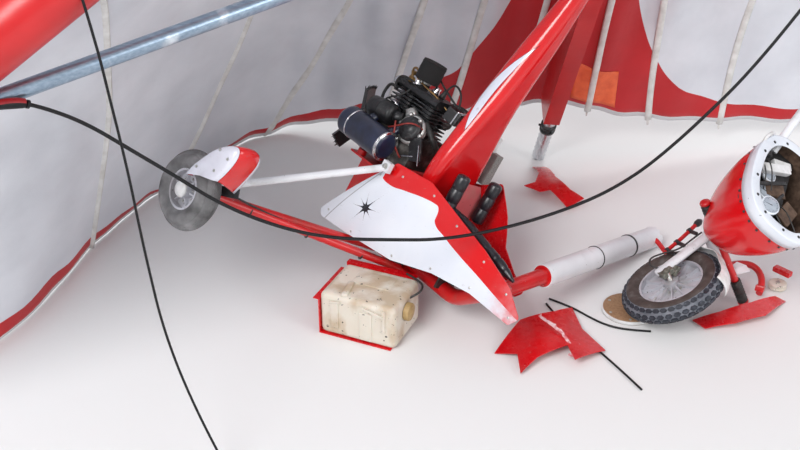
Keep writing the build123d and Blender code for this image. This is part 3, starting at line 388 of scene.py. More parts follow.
# Batten pockets: doubled strips of the same white cloth sewn chordwise over the ribs, each ending
# in a batten tip that stands out past the trailing edge with its white cord.
pocket_cloth = grained("white_pocket_cloth", (22, 5),
                       ((0.3, (0.62, 0.61, 0.58)), (0.7, (0.82, 0.82, 0.80))), (0.002, 0.4),
                       Roughness=0.6)
POCKET_ABOVE_FLOOR = 0.001
POCKET_STEPS = 40
POCKET_HALF = 0.017
POCKET_RAISED = 0.007
for side in ("left", "right"):
    sail, rows, area = sails[side]
    strips = bmesh.new()
    tips = bmesh.new()
    for low, high in batten_at[side]:
        spine = []
        for step in range(POCKET_STEPS + 1):
            v = 0.05 + 0.955 * step / POCKET_STEPS
            u = min(low + (high - low) * max(0.0, (v - 0.55) / 0.45) ** 1.4, len(rows) - 1.001)
            spine.append(on_sail(rows, side, u, v, -0.0015))
        sections = []
        for k, here in enumerate(spine):
            way = (spine[min(k + 1, POCKET_STEPS)] - spine[max(k - 1, 0)]).normalized()
            cross = way.cross(wing_up).normalized()
            out = way.cross(cross).normalized()
            if out.dot(wing_up) > 0:
                out.negate()
            sections.append([strips.verts.new(here + cross * w * POCKET_HALF + out * h * POCKET_RAISED)
                             for w, h in ((-1, 0), (-0.75, 0.7), (0, 1), (0.75, 0.7), (1, 0))])
        skin(strips, sections)
        way = (spine[-1] - spine[-3]).normalized()
        end = spine[-1] + way * 0.03
        if end.z > 0.012:
            ring_along(tips, spine[-1] - way * 0.01, end,
                       ((0, 0.006), (0.6, 0.006), (0.9, 0.005), (1, 0.002)), 10)
    for corner in strips.verts:
        corner.co.z = max(corner.co.z, POCKET_ABOVE_FLOOR)
    face_out(strips)
    sewn = piece("batten_pockets_" + side, strips, pocket_cloth, "root")
    ends = piece("batten_tips_" + side, tips, pocket_cloth, "root")

# Repair patch: a square of orange adhesive sailcloth pressed on the red centre beside the keel. It
# follows the billowed cloth, on the face that is turned to the trike.
orange_cloth = grained("orange_patch_cloth", (30, 4),
                       ((0.3, (0.74, 0.10, 0.03)), (0.7, (0.90, 0.16, 0.05))), (0.002, 0.4),
                       Roughness=0.5)
patch = bmesh.new()
rows = sails["right"][1]
steps = 10
grid = [[patch.verts.new(on_sail(rows, "right", 0.15 + (0.60 - 0.15) * i / steps + 0.05 * j / steps,
                                 0.915 + 0.070 * j / steps, -0.0025))
         for j in range(steps + 1)]
        for i in range(steps + 1)]
for i in range(steps):
    for j in range(steps):
        patch.faces.new((grid[i][j], grid[i + 1][j], grid[i + 1][j + 1], grid[i][j + 1]))
patch_piece = piece("repair_patch", patch, orange_cloth, "root")
thicken(patch_piece, 0.001, -1)

# Trike frame: the base tube, its front socket, the mast, both main legs, the fairing stays and the
# engine mount are steel and aluminium tube, powder coated red and chipped along their length.
def resting(origin, heading, nose_down, roll):
    turn = (Matrix.Rotation(math.radians(heading), 4, "Z") @ Matrix.Rotation(math.radians(nose_down), 4, "Y")
            @ Matrix.Rotation(math.radians(roll), 4, "X"))
    return Matrix.Translation(at(*origin)) @ turn


def local(place, x, y, z):
    return place @ (Vector((x, y, z)) / 1000)


rear_place = resting((41, -514, 196), -51.2, 8.0, -29.3)


def coated(name, light, dark, chip, roughness=0.3, chips=0.70, dirt=(0.16, 0.12, 0.08), soiled=0.72):
    """Glossy coating that is chipped to what lies under it and dusty in patches."""
    made, tree, shader = material(name)
    shade = ramp_of(tree, noise_of(tree, 6, 3), ((0.3, dark), (0.7, light)))
    chipped = ramp_of(tree, noise_of(tree, 95, 8), ((chips, (0, 0, 0)), (chips + 0.02, (1, 1, 1))))
    bare = mixed(tree, chipped, shade, chip)
    dusty = ramp_of(tree, noise_of(tree, 11, 7),
                    ((soiled - 0.12, (0, 0, 0)), (soiled + 0.14, (0.6, 0.6, 0.6))))
    tree.links.new(mixed(tree, dusty, bare, dirt), shader.inputs["Base Color"])
    rough = ramp_of(tree, noise_of(tree, 30, 6), ((0.3, (roughness,) * 3), (0.75, (roughness + 0.16,) * 3)))
    tree.links.new(rough, shader.inputs["Roughness"])
    set_on(shader, Coat_Weight=0.35, Coat_Roughness=0.18)
    bumped(tree, shader, chipped, 0.0003)
    return made


red_coat = coated("red_powder_coat", (0.64, 0.006, 0.008), (0.46, 0.004, 0.006), (0.42, 0.40, 0.38))
white_coat = coated("white_powder_coat", (0.80, 0.81, 0.84), (0.66, 0.67, 0.70), (0.30, 0.30, 0.30))
dress(red_coat, "base_tube", "front_socket", "mast", "leg_right", "leg_left", "fairing_stays",
      "engine_mount", "foot_bar")
dress(white_coat, "front_tube", "lift_strut_right", "control_bar")

# Leg fittings: plain bolts and washers through the leg lugs and the strut's upper lug, and black
# cable ties that hold the brake line along the leg.
zinc = grained("zinc_plated_steel", (140, 5), ((0.3, (0.42, 0.42, 0.40)), (0.7, (0.66, 0.66, 0.64))),
               (0.0002,), Metallic=0.85, Roughness=0.38)


def bolt(build, foot, way, radius, height):
    """A washer with a hexagon head on it."""
    way = way.normalized()
    ring_along(build, foot, foot + way * height * 0.25, ((0, radius * 1.5), (1, radius * 1.45)), 20)
    ring_along(build, foot + way * height * 0.25, foot + way * height,
               ((0, radius), (0.85, radius), (1, radius * 0.86)), 6)


side_out = local(rear_place, 0, -1000, 0) - local(rear_place, 0, 0, 0)
fittings = bmesh.new()
for x, y, z in ((-98, -248.5, 268), (-362, -770, -72), (-308, -770, -72)):
    bolt(fittings, local(rear_place, x, y, z), side_out, 0.008, 0.011)
piece("leg_bolts", fittings, zinc, "root", smooth=False)


def hose(name, points, radius, finish, body="root", place=None):
    """A round hose, lead or bent rod along smooth points, in a unit's own frame or in the photograph's."""
    curve = bpy.data.curves.new(name, "CURVE")
    curve.dimensions = "3D"
    curve.bevel_depth = radius
    curve.bevel_resolution = 4
    curve.resolution_u = 6
    curve.use_fill_caps = True
    spline = curve.splines.new("NURBS")
    spline.points.add(len(points) - 1)
    for target, point in zip(spline.points, points):
        where = local(place, *point) if place else at(*point)
        target.co = (*where, 1)
    spline.order_u = 3
    spline.use_endpoint_u = True
    made = bpy.data.objects.new(name, curve)
    bpy.context.scene.collection.objects.link(made)
    curve.materials.append(finish)
    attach(made, body)
    return made


ties = bmesh.new()
leg_from, leg_to = local(rear_place, 40, -25, -91), local(rear_place, -335, -787, -72)
for share in (0.22, 0.5, 0.78):
    tie_at = leg_from.lerp(leg_to, share)
    ring_along(ties, tie_at, tie_at + (leg_to - leg_from).normalized() * 0.006,
               ((0, 0.0166), (0.2, 0.0176), (0.8, 0.0176), (1, 0.0166)), 24)
piece("leg_cable_ties", ties, black_plastic, "root")
black_rubber = grained("black_rubber_hose", (70, 6),
                       ((0.3, (0.010, 0.010, 0.010)), (0.8, (0.055, 0.052, 0.050))), (0.0003,),
                       Roughness=0.5)
hose("brake_line", ((30, -30, -66), (-20, -160, -68), (-90, -290, -69), (-160, -440, -67),
                    (-240, -600, -60), (-310, -742, -38)), 0.004, black_rubber, place=rear_place)

# Front tube: the white tube has torn away from the nose unit. A black clamp ring stays on it, its
# end is a ragged edge of bent metal, and the red push rod of the steering hangs out of its mouth.
tube_end = at(1060, -188, 44.5)
tube_start = local(rear_place, 500, -80, 105)
tube_way = (tube_end - tube_start).normalized()
clamps = bmesh.new()
for back, wide in ((0.178, 0.010), (0.42, 0.004)):
    ring_from = tube_end - tube_way * back
    ring_along(clamps, ring_from, ring_from + tube_way * wide,
               ((0, 0.0452), (0.15, 0.0478), (0.85, 0.0478), (1, 0.0452)), 48)
piece("front_tube_clamps", clamps, black_plastic, "root")
EDGE_ABOVE_FLOOR = 0.0006
random.seed(11)
shards = bmesh.new()
side = tube_way.orthogonal().normalized()
other = tube_way.cross(side)
sides = 56
rows = [[], []]
for wall, radius in ((0, 0.0448), (1, 0.0412)):
    for depth in (-0.02, 0.0, 1.0):
        row = []
        for k in range(sides):
            a = 2 * math.pi * k / sides
            jag = depth
            if depth == 1.0:
                jag = 0.010 + 0.016 * abs(math.sin(2.5 * a)) + random.uniform(-0.006, 0.010)
            flare = 1.0 + (0.05 * math.sin(3 * a) + 0.03 if depth == 1.0 else 0.0)
            if depth == 1.0 and wall:
                jag = (rows[0][2][k].co - tube_end).dot(tube_way)
            out = side * math.cos(a) + other * math.sin(a)
            row.append(shards.verts.new(tube_end + tube_way * jag + out * radius * flare))
        rows[wall].append(row)
skin(shards, rows[0], ended=False)
skin(shards, rows[1], ended=False)
for k in range(sides):
    n = (k + 1) % sides
    shards.faces.new((rows[0][2][k], rows[0][2][n], rows[1][2][n], rows[1][2][k]))
    shards.faces.new((rows[1][0][k], rows[1][0][n], rows[0][0][n], rows[0][0][k]))
for corner in shards.verts:
    corner.co.z = max(corner.co.z, EDGE_ABOVE_FLOOR)
face_out(shards)
piece("front_tube_torn_end", shards, white_coat, "root", smooth=False)
hose("steering_push_rod",
     ((1040, -205, 60), (1072, -215, 62), (1094, -262, 48), (1118, -330, 30), (1128, -352, 26)), 0.0105,
     red_coat)
seam = bmesh.new()
seam_way = Vector((0, -0.3, 0.95)).normalized()
for k in range(7):
    rivet_at = tube_end - tube_way * (0.05 + 0.022 * k) + seam_way * 0.0446
    ring_along(seam, rivet_at, rivet_at + seam_way * 0.0022, ((0, 0.004), (1, 0.0022)), 10)
piece("front_tube_rivets", seam, zinc, "root")

# Right side fairing: a thin glass-fibre shell, sprayed red along its upper edge and white below,
# with a dark eight-pointed compass star near its tail. Its nose has been rubbed to pink.
fairing_place = rear_place @ Matrix.Rotation(math.radians(6), 4, "Z")


def local_coords(tree, place):
    """Coordinates in a broken unit's own frame, in metres, for marks that follow its shape."""
    where = tree.nodes.new("ShaderNodeTexCoord")
    mapped = tree.nodes.new("ShaderNodeMapping")
    mapped.vector_type = "TEXTURE"
    mapped.inputs["Location"].default_value = place.to_translation()
    mapped.inputs["Rotation"].default_value = place.to_euler()
    tree.links.new(where.outputs["Object"], mapped.inputs["Vector"])
    return mapped.outputs["Vector"]


fairing_paint, tree, shader = material("fairing_red_and_white")
here = tree.nodes.new("ShaderNodeSeparateXYZ")
tree.links.new(local_coords(tree, fairing_place), here.inputs["Vector"])
x, z = here.outputs["X"], here.outputs["Z"]
edge = tree.nodes.new("ShaderNodeFloatCurve")
curve = edge.mapping.curves[0]
# Columns: place along the fairing, height of the red paint's lower edge, both in metres
RED_EDGE = ((-0.40, 0.42), (-0.142, 0.42), (-0.134, 0.216), (-0.092, 0.210), (-0.016, 0.226),
            (0.072, 0.246), (0.132, 0.252), (0.152, 0.236), (0.160, 0.200), (0.237, 0.172),
            (0.319, 0.152), (0.432, 0.130), (0.545, 0.106), (0.70, 0.078))
EDGE_FROM, EDGE_LONG = RED_EDGE[0][0], 1.10
curve.points[0].location = (0.0, RED_EDGE[0][1])
curve.points[1].location = (1.0, RED_EDGE[-1][1])
for run, rise in RED_EDGE[1:-1]:
    curve.points.new((run - EDGE_FROM) / EDGE_LONG, rise)
for point in curve.points:
    point.handle_type = "AUTO_CLAMPED"
edge.mapping.update()
share = math_node(tree, "DIVIDE", math_node(tree, "SUBTRACT", x, EDGE_FROM), EDGE_LONG)
tree.links.new(share, edge.inputs["Value"])
is_red = math_node(tree, "GREATER_THAN", z, edge.outputs["Value"])
STAR_AT = (-0.137, 0.080)
STAR_TURN = math.radians(15.5)
dx, dz = math_node(tree, "SUBTRACT", x, STAR_AT[0]), math_node(tree, "SUBTRACT", z, STAR_AT[1])


def star_arms(tree, turn, long_arm, short_arm):
    """A four-pointed star with hollow sides."""
    p = math_node(tree, "ADD", math_node(tree, "MULTIPLY", dx, math.cos(turn)),
                  math_node(tree, "MULTIPLY", dz, math.sin(turn)))
    q = math_node(tree, "SUBTRACT", math_node(tree, "MULTIPLY", dz, math.cos(turn)),
                  math_node(tree, "MULTIPLY", dx, math.sin(turn)))
    reach = [math_node(tree, "POWER", math_node(tree, "DIVIDE", math_node(tree, "ABSOLUTE", way), arm),
                       0.28)
             for way, arm in ((p, long_arm), (q, short_arm))]
    return math_node(tree, "LESS_THAN", math_node(tree, "ADD", *reach), 1.0)


star = math_node(tree, "MAXIMUM", star_arms(tree, STAR_TURN, 0.110, 0.092),
                 star_arms(tree, STAR_TURN + 0.79, 0.150, 0.075))
# A thin grey line along a crease in the shell: painted shadow of the crease.
crease_shadow_centre = math_node(tree, "ADD", math_node(tree, "MULTIPLY", z, 0.53), -0.272)
crease_shadow_offset = math_node(tree, "ABSOLUTE", math_node(tree, "SUBTRACT", x, crease_shadow_centre))
crease_shadow_line = math_node(tree, "LESS_THAN", crease_shadow_offset, 0.0022)
cloud = noise_of(tree, 5, 5)
white = ramp_of(tree, cloud, ((0.3, (0.70, 0.74, 0.82)), (0.7, (0.78, 0.81, 0.87))))
red = ramp_of(tree, cloud, ((0.3, (0.58, 0.004, 0.006)), (0.7, (0.68, 0.006, 0.008))))
base = mixed(tree, is_red, white, red)
base = mixed(tree, crease_shadow_line, base, (0.42, 0.43, 0.46))
base = mixed(tree, star, base, (0.012, 0.012, 0.018))
rubbed = math_node(tree, "MULTIPLY", math_node(tree, "SUBTRACT", x, 0.490), 8.0)
rub_marks = ramp_of(tree, noise_of(tree, 26, 7), ((0.35, (0.2, 0.2, 0.2)), (0.65, (1, 1, 1))))
rubbed = math_node(tree, "MULTIPLY", rubbed, rub_marks)
rubbed.node.use_clamp = True
base = mixed(tree, rubbed, base, (0.66, 0.16, 0.17))
grime = ramp_of(tree, noise_of(tree, 45, 8, (1, 1, 3)), ((0.66, (0, 0, 0)), (0.80, (0.35, 0.35, 0.35))))
tree.links.new(mixed(tree, grime, base, (0.30, 0.27, 0.22)), shader.inputs["Base Color"])
set_on(shader, Roughness=0.2, Coat_Weight=0.5, Coat_Roughness=0.12)
bumped(tree, shader, cloud, 0.004, 0.25)
dress(fairing_paint, "side_fairing_right")

# Left side fairing and the torn shell pieces: the same glass-fibre skin in red all over, scratched
# pale along its edges where the gel coat has cracked.
shell_red = coated("red_shell_coat", (0.70, 0.006, 0.010), (0.52, 0.004, 0.008), (0.72, 0.30, 0.30),
                   roughness=0.2, chips=0.69, dirt=(0.30, 0.10, 0.09), soiled=0.76)
dress(shell_red, "side_fairing_left", "shell_fragments", "tank_tray")
fastener = bmesh.new()
for x, z in ((-300, -20), (-150, 220), (-60, 262), (100, 272), (250, 232), (420, 186), (560, 140),
             (610, 76), (420, 78), (240, 46), (60, -10), (-160, -36)):
    out = local(fairing_place, x, -1000, z) - local(fairing_place, x, 0, z)
    arc = 55 * (1 - ((z - 130) / 270) ** 2)
    foot = local(fairing_place, x, -150 - arc + 1.2, z)
    ring_along(fastener, foot, foot + out.normalized() * 0.0035, ((0, 0.0065), (0.5, 0.006), (1, 0.003)), 14)
piece("fairing_fasteners", fastener, zinc, "root")

# Mast cowling: a red glass-fibre fairing round the mast with a long white teardrop on its right
# side.
mast_foot = local(rear_place, -20, 0, -15)
mast_top = keel_foot + keel_way * 1.7 - wing_up * 0.1503
mast_way = (mast_top - mast_foot).normalized()
trike_forward = (local(rear_place, 1000, 0, 0) - local(rear_place, 0, 0, 0)).normalized()
cowl_x = (trike_forward - mast_way * trike_forward.dot(mast_way)).normalized()
cowl_y = mast_way.cross(cowl_x)
cowl_place = Matrix.Translation(mast_foot) @ Matrix((cowl_x, cowl_y, mast_way)).transposed().to_4x4()
cowl_paint, tree, shader = material("cowling_red_with_teardrop")
here = tree.nodes.new("ShaderNodeSeparateXYZ")
tree.links.new(local_coords(tree, cowl_place), here.inputs["Vector"])


def curve_node(tree, value, points, low, high):
    """A number read from a smooth line through a few points, for marks with a curved outline."""
    made = tree.nodes.new("ShaderNodeFloatCurve")
    line = made.mapping.curves[0]
    line.points[0].location = (0.0, points[0][1])
    line.points[1].location = (1.0, points[-1][1])
    for run, rise in points[1:-1]:
        line.points.new((run - low) / (high - low), rise)
    made.mapping.update()
    share = math_node(tree, "DIVIDE", math_node(tree, "SUBTRACT", value, low), high - low)
    tree.links.new(share, made.inputs["Value"])
    return made.outputs["Value"]


TEARDROP_HALF = ((0.54, 0.0), (0.58, 0.010), (0.64, 0.019), (0.70, 0.0215), (0.78, 0.017), (0.86, 0.009),
                 (0.93, 0.0))
TEARDROP_BEND = ((0.54, 0.026), (0.62, 0.008), (0.70, 0.0), (0.80, 0.012), (0.93, 0.042))
half = curve_node(tree, here.outputs["Z"], TEARDROP_HALF, 0.54, 0.93)
bend = curve_node(tree, here.outputs["Z"], TEARDROP_BEND, 0.54, 0.93)
forward = math_node(tree, "ADD", here.outputs["X"], 0.012)
off = math_node(tree, "ABSOLUTE", math_node(tree, "SUBTRACT", forward, bend))
in_drop = math_node(tree, "LESS_THAN", off, half)
near_drop = math_node(tree, "LESS_THAN", off, math_node(tree, "ADD", half, 0.0028))
right_side = math_node(tree, "LESS_THAN", here.outputs["Y"], 0.0)
cloud = noise_of(tree, 6, 5)
red = ramp_of(tree, cloud, ((0.3, (0.58, 0.004, 0.006)), (0.7, (0.70, 0.007, 0.010))))
outlined = mixed(tree, math_node(tree, "MULTIPLY", near_drop, right_side), red, (0.30, 0.004, 0.010))
base = mixed(tree, math_node(tree, "MULTIPLY", in_drop, right_side), outlined, (0.72, 0.74, 0.84))
grime = ramp_of(tree, noise_of(tree, 40, 8), ((0.66, (0, 0, 0)), (0.8, (0.4, 0.4, 0.4))))
tree.links.new(mixed(tree, grime, base, (0.22, 0.06, 0.05)), shader.inputs["Base Color"])
set_on(shader, Roughness=0.22, Coat_Weight=0.5, Coat_Roughness=0.12)
bumped(tree, shader, cloud, 0.004, 0.25)
dress(cowl_paint, "mast_cowling")

# Seat: a faded pink back plate, a long black vinyl cushion with a piped edge, and two bolster
# rolls in glossy black vinyl. Pan and webs under it are black composite.
faded_pink = coated("faded_pink_shell", (0.66, 0.13, 0.14), (0.54, 0.09, 0.10), (0.30, 0.05, 0.05),
                    roughness=0.4, chips=0.68, dirt=(0.35, 0.25, 0.2), soiled=0.66)
dress(faded_pink, "seat_back")
composite = grained("black_composite", (60, 6),
                    ((0.3, (0.012, 0.012, 0.013)), (0.8, (0.055, 0.052, 0.050))), (0.0004,),
                    Roughness=0.45)
dress(composite, "seat_pan")
vinyl, tree, shader = material("black_vinyl")
grain = tree.nodes.new("ShaderNodeTexVoronoi")
grain.inputs["Scale"].default_value = 420
creased = noise_of(tree, 12, 6)
tree.links.new(ramp_of(tree, creased, ((0.3, (0.004, 0.004, 0.007)), (0.75, (0.014, 0.014, 0.020)))),
               shader.inputs["Base Color"])
set_on(shader, Roughness=0.28, Coat_Weight=0.3, Coat_Roughness=0.2)
fine = math_node(tree, "MULTIPLY", grain.outputs["Distance"], 0.05)
bumped(tree, shader, math_node(tree, "ADD", creased, fine), 0.006, 0.5)


def crowned_pad(name, place, size, crown, tuck, seams, finish):
    """A filled pad: its faces crown between seams and its sides pull in between its corners."""
    build = bmesh.new()
    long, wide, high = (s / 2 for s in size)
    steps = (26, 18)
    sheets = []
    for level in (1, -1):
        grid = []
        for i in range(steps[0] + 1):
            row = []
            u = 2 * i / steps[0] - 1
            for j in range(steps[1] + 1):
                w = 2 * j / steps[1] - 1
                pull_x = 1 - tuck * (1 - w * w) * abs(u) ** 6
                pull_y = 1 - tuck * (1 - u * u) * abs(w) ** 6
                rise = crown * ((1 - u ** 4) * (1 - w ** 4)) ** 0.5
                for groove in seams:
                    rise -= 0.5 * crown * math.exp(-((u - groove) / 0.05) ** 2)
                if level < 0:
                    rise *= 0.25
                z = level * (high * (0.80 - 0.28 * max(abs(u), abs(w)) ** 8) + rise)
                row.append(build.verts.new(local(place, u * long * pull_x, w * wide * pull_y, z)))
            grid.append(row)
        sheets.append(grid)
    top, under = sheets
    for i in range(steps[0]):
        for j in range(steps[1]):
            build.faces.new((top[i][j], top[i + 1][j], top[i + 1][j + 1], top[i][j + 1]))
            build.faces.new((under[i][j], under[i][j + 1], under[i + 1][j + 1], under[i + 1][j]))
    rim = [(i, 0) for i in range(steps[0])] + [(steps[0], j) for j in range(steps[1])]
    rim += [(i, steps[1]) for i in range(steps[0], 0, -1)] + [(0, j) for j in range(steps[1], 0, -1)]
    for (a, b), (c, d) in zip(rim, rim[1:] + rim[:1]):
        build.faces.new((top[a][b], under[a][b], under[c][d], top[c][d]))
    face_out(build)
    made = piece(name, build, finish, "root")
    soft = made.modifiers.new("rounded", "SUBSURF")
    soft.levels = 1
    soft.render_levels = 1
    return made


cushion_place = rear_place @ Matrix.Translation(Vector((0.2431, 0, 0.0913)))
cushion = crowned_pad("seat_cushion_pad", cushion_place, (250, 184, 54), 7, 0.03, (-0.35, 0.3), vinyl)
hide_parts("seat_cushion")
piping = []
for level in (-14, 14):
    corner = [(-119, -86), (119, -86), (119, 86), (-119, 86)]
    ring = []
    for (ax, ay), (bx, by) in zip(corner, corner[1:] + corner[:1]):
        ring += [(ax + (bx - ax) * s, ay + (by - ay) * s, level) for s in (0.06, 0.35, 0.65, 0.94)]
    piping.append(hose(f"seat_cushion_piping_{'under' if level < 0 else 'over'}", ring + ring[:1], 0.0028,
                       vinyl, place=cushion_place))
for name, y in (("right", -103), ("left", 103)):
    build = bmesh.new()
    foot, head = local(rear_place, 144.3, y, 212), local(rear_place, 144.3, y, 388)
    outline = [(0, 0.006), (0.008, 0.016), (0.03, 0.0235), (0.07, 0.0268), (0.2, 0.0272), (0.35, 0.0262),
               (0.36, 0.0252), (0.37, 0.0262), (0.5, 0.0276), (0.65, 0.0262), (0.66, 0.0252),
               (0.67, 0.0262), (0.8, 0.0272), (0.93, 0.0268), (0.97, 0.0235), (0.992, 0.016), (1, 0.006)]
    ring_along(build, foot, head, outline, 32)
    piece("seat_bolster_roll_" + name, build, vinyl, "root")
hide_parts("seat_bolsters")
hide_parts("seat_bolsters")
straps = bmesh.new()


def flat_strap(build, points, wide, thick, face_way):
    """A flat band of webbing or strip along points, its broad side turned to face_way."""
    rows = []
    for k, here in enumerate(points):
        way = (points[min(k + 1, len(points) - 1)] - points[max(k - 1, 0)]).normalized()
        cross = way.cross(face_way).normalized() * wide / 2
        up = cross.cross(way).normalized() * thick / 2
        rows.append([build.verts.new(here + cross * a + up * b)
                     for a, b in ((-1, -1), (1, -1), (1, 1), (-1, 1))])
    skin(build, rows)


pad_up = local(rear_place, 0, 0, 1000) - local(rear_place, 0, 0, 0)
for y in (-58, 42):
    strap_line = ((120, 205), (124, 160), (150, 131), (210, 131), (290, 130), (360, 124), (371, 96))
    flat_strap(straps, [local(rear_place, x, y + 0.03 * x, z) for x, z in strap_line], 0.032, 0.002, pad_up)
webbing, tree, shader = material("black_webbing")
ribs = tree.nodes.new("ShaderNodeTexWave")
ribs.inputs["Scale"].default_value = 260
ribs.inputs["Distortion"].default_value = 1.5
tree.links.new(ramp_of(tree, ribs.outputs["Fac"],
                       ((0.2, (0.010, 0.010, 0.011)), (0.8, (0.040, 0.040, 0.042)))),
               shader.inputs["Base Color"])
set_on(shader, Roughness=0.62)
bumped(tree, shader, ribs.outputs["Fac"], 0.0006)
piece("seat_straps", straps, webbing, "root", smooth=False)
buckle = bmesh.new()
for y in (-52, 50):
    buckle_at = local(rear_place, 236, y, 133)
    ring_along(buckle, buckle_at, buckle_at + pad_up.normalized() * 0.007,
               ((0, 0.019), (0.3, 0.020), (0.8, 0.019), (1, 0.016)), 8)
piece("seat_buckles", buckle, zinc, "root", smooth=False)

# Seat side roll: a long black vinyl roll that was laced along the seat's right edge and now lies on
# the fairing's upper edge, thin by the mast and full by the knees, creased where it was laced.
ROLL_LINE = ((-46, -104, 262), (30, -102, 262), (110, -100, 258), (188, -99, 250), (262, -98, 238),
             (390, -97, 211), (480, -96, 193), (548, -96, 178))
ROLL_RADII = (4, 9, 10, 15, 21, 22, 21, 6)
roll = bmesh.new()
rows = []
ROWS_PER_POINT = 12
steps = ROWS_PER_POINT * (len(ROLL_LINE) - 1)
roll_lines = [local(rear_place, *p) for p in ROLL_LINE]
roll_sizes = [Vector((r, 0, 0)) for r in ROLL_RADII]
for k in range(steps + 1):
    share = k / ROWS_PER_POINT
    middle = smooth_between(roll_lines, share)
    ahead = smooth_between(roll_lines, min(k + 1, steps) / ROWS_PER_POINT)
    behind = smooth_between(roll_lines, max(k - 1, 0) / ROWS_PER_POINT)
    way = (ahead - behind).normalized()
    side_way = way.cross(pad_up).normalized()
    up_way = side_way.cross(way)
    creased_in = 1 - 0.14 * math.exp(-(((share * 1.7) % 1 - 0.5) / 0.06) ** 2)
    radius = max(3.0, smooth_between(roll_sizes, share).x) * creased_in / 1000
    rows.append(round_row(roll, middle, side_way * radius * 0.8, up_way * radius, 28))
skin(roll, rows)
face_out(roll)
side_roll = piece("seat_side_roll", roll, vinyl, "root")

# Engine castings: crankcase with its gearbox, and the two carburettors, in cast aluminium that is
# dark with oil. The cylinders and their heads are painted black and worn along the fins.
oily_cast, tree, shader = material("oily_cast_aluminium")
cast = noise_of(tree, 26, 8)
tree.links.new(ramp_of(tree, cast, ((0.28, (0.018, 0.017, 0.016)), (0.52, (0.085, 0.080, 0.074)),
                                    (0.78, (0.30, 0.29, 0.27)))), shader.inputs["Base Color"])
set_on(shader, Metallic=0.55, Roughness=0.46)
bumped(tree, shader, noise_of(tree, 240, 5), 0.0006)
engine_black = grained("engine_black_paint", (75, 9), ((0.30, (0.006, 0.006, 0.007)),
                                                       (0.60, (0.022, 0.022, 0.024)),
                                                       (0.80, (0.13, 0.12, 0.115))), (0.0005,),
                       Roughness=0.38, Specular_IOR_Level=0.6)
dress(oily_cast, "crankcase", "carburettors")
dress(engine_black, "cylinders", "cylinder_head")
chrome, tree, shader = material("polished_chrome")
haze = noise_of(tree, 40, 7)
tree.links.new(ramp_of(tree, haze, ((0.3, (0.52, 0.52, 0.54)), (0.7, (0.86, 0.86, 0.88)))),
               shader.inputs["Base Color"])
set_on(shader, Metallic=1.0)
tree.links.new(ramp_of(tree, haze, ((0.3, (0.26, 0.26, 0.26)), (0.7, (0.10, 0.10, 0.10)))),
               shader.inputs["Roughness"])
brass = grained("tarnished_brass", (60, 7), ((0.3, (0.16, 0.085, 0.03)), (0.7, (0.48, 0.30, 0.12))),
                (0.0003,), Metallic=0.8, Roughness=0.4)

# Exhaust: a steel muffler in dark navy enamel with a crimped end cap, spring hooks and a bare
# flange where the tail pipe has come off.
navy = grained("navy_enamel", (18, 6), ((0.3, (0.006, 0.008, 0.020)), (0.7, (0.020, 0.028, 0.070))),
               (0.003, 0.4), Roughness=0.3, Coat_Weight=0.5, Coat_Roughness=0.2)
dress(navy, "exhaust")


def turned(build, place, *forms):
    """Turned forms in a unit's frame, each with its start, end, outline and number of sides."""
    for start, end, outline, sides in forms:
        ring_along(build, local(place, *start), local(place, *end), outline, sides)


bright = bmesh.new()
turned(bright, rear_place,
       ((-466, -174, 310), (-452, -174, 310), ((0, 0.020), (0.2, 0.034), (0.5, 0.036), (1, 0.036)), 32),
       ((-212, -174, 310), (-203, -174, 310), ((0, 0.0606), (0.3, 0.0622), (0.7, 0.0622), (1, 0.0606)), 48),
       ((-398, -174, 310), (-392, -174, 310), ((0, 0.0602), (0.3, 0.0616), (0.7, 0.0616), (1, 0.0602)), 48),
       ((-424, -42, 530), (-400, -46, 524),
        ((0, 0.0125), (0.05, 0.0195), (0.3, 0.0205), (0.6, 0.018), (1, 0.018)), 32),
       ((-330, -30, 553), (-336, -34, 586), ((0, 0.024), (0.25, 0.026), (0.5, 0.020), (1, 0.024)), 32),
       ((-262, 6, 553), (-258, 10, 582), ((0, 0.016), (0.3, 0.018), (0.7, 0.012), (1, 0.014)), 32))
for x in (-348, -224):
    turned(bright, rear_place, ((x - 5, -66, 448), (x - 7, -76, 439),
                                ((0, 0.0192), (0.2, 0.024), (0.8, 0.024), (1, 0.0192)), 28))
piece("engine_chrome_fittings", bright, chrome, "root")

# Intake silencer and starter: a black drum lies beside the cylinders, and the hand starter is a
# round ribbed cover under a cast ring at the front of the crankcase.
drum = bmesh.new()
turned(drum, rear_place,
       ((-428, -104, 398), (-296, -104, 412),
        ((0, 0.020), (0.01, 0.034), (0.05, 0.042), (0.3, 0.044), (0.46, 0.044), (0.48, 0.0465),
         (0.54, 0.0465), (0.56, 0.044), (0.9, 0.043), (0.98, 0.036), (1, 0.022)), 40),
       ((-196, -88, 404), (-190, -128, 414),
        ((0, 0.050), (0.5, 0.050), (0.7, 0.047), (0.86, 0.036), (0.9, 0.030), (1, 0.028)), 40),
       ((-296, -104, 412), (-262, -92, 424), ((0, 0.022), (0.4, 0.024), (0.6, 0.020), (1, 0.020)), 28))
piece("intake_silencer_and_starter", drum, engine_black, "root")
hoop = bmesh.new()
turned(hoop, rear_place, ((-198, -82, 402), (-194, -104, 408),
                          ((0, 0.052), (0.15, 0.060), (0.75, 0.060), (0.9, 0.056), (1, 0.0515)), 44))
for k in range(6):
    a = 2 * math.pi * k / 6
    lug = (-197 + 58 * math.cos(a), -96 - 6 * math.sin(a), 405 + 58 * math.sin(a))
    turned(hoop, rear_place,
           (lug, (lug[0] + 2, lug[1] - 12, lug[2] + 3), ((0, 0.009), (0.7, 0.009), (1, 0.006)), 12))
turned(hoop, rear_place, ((-236, -70, 440), (-262, -84, 470), ((0, 0.022), (0.5, 0.026), (1, 0.018)), 20))
piece("starter_ring", hoop, zinc, "root")

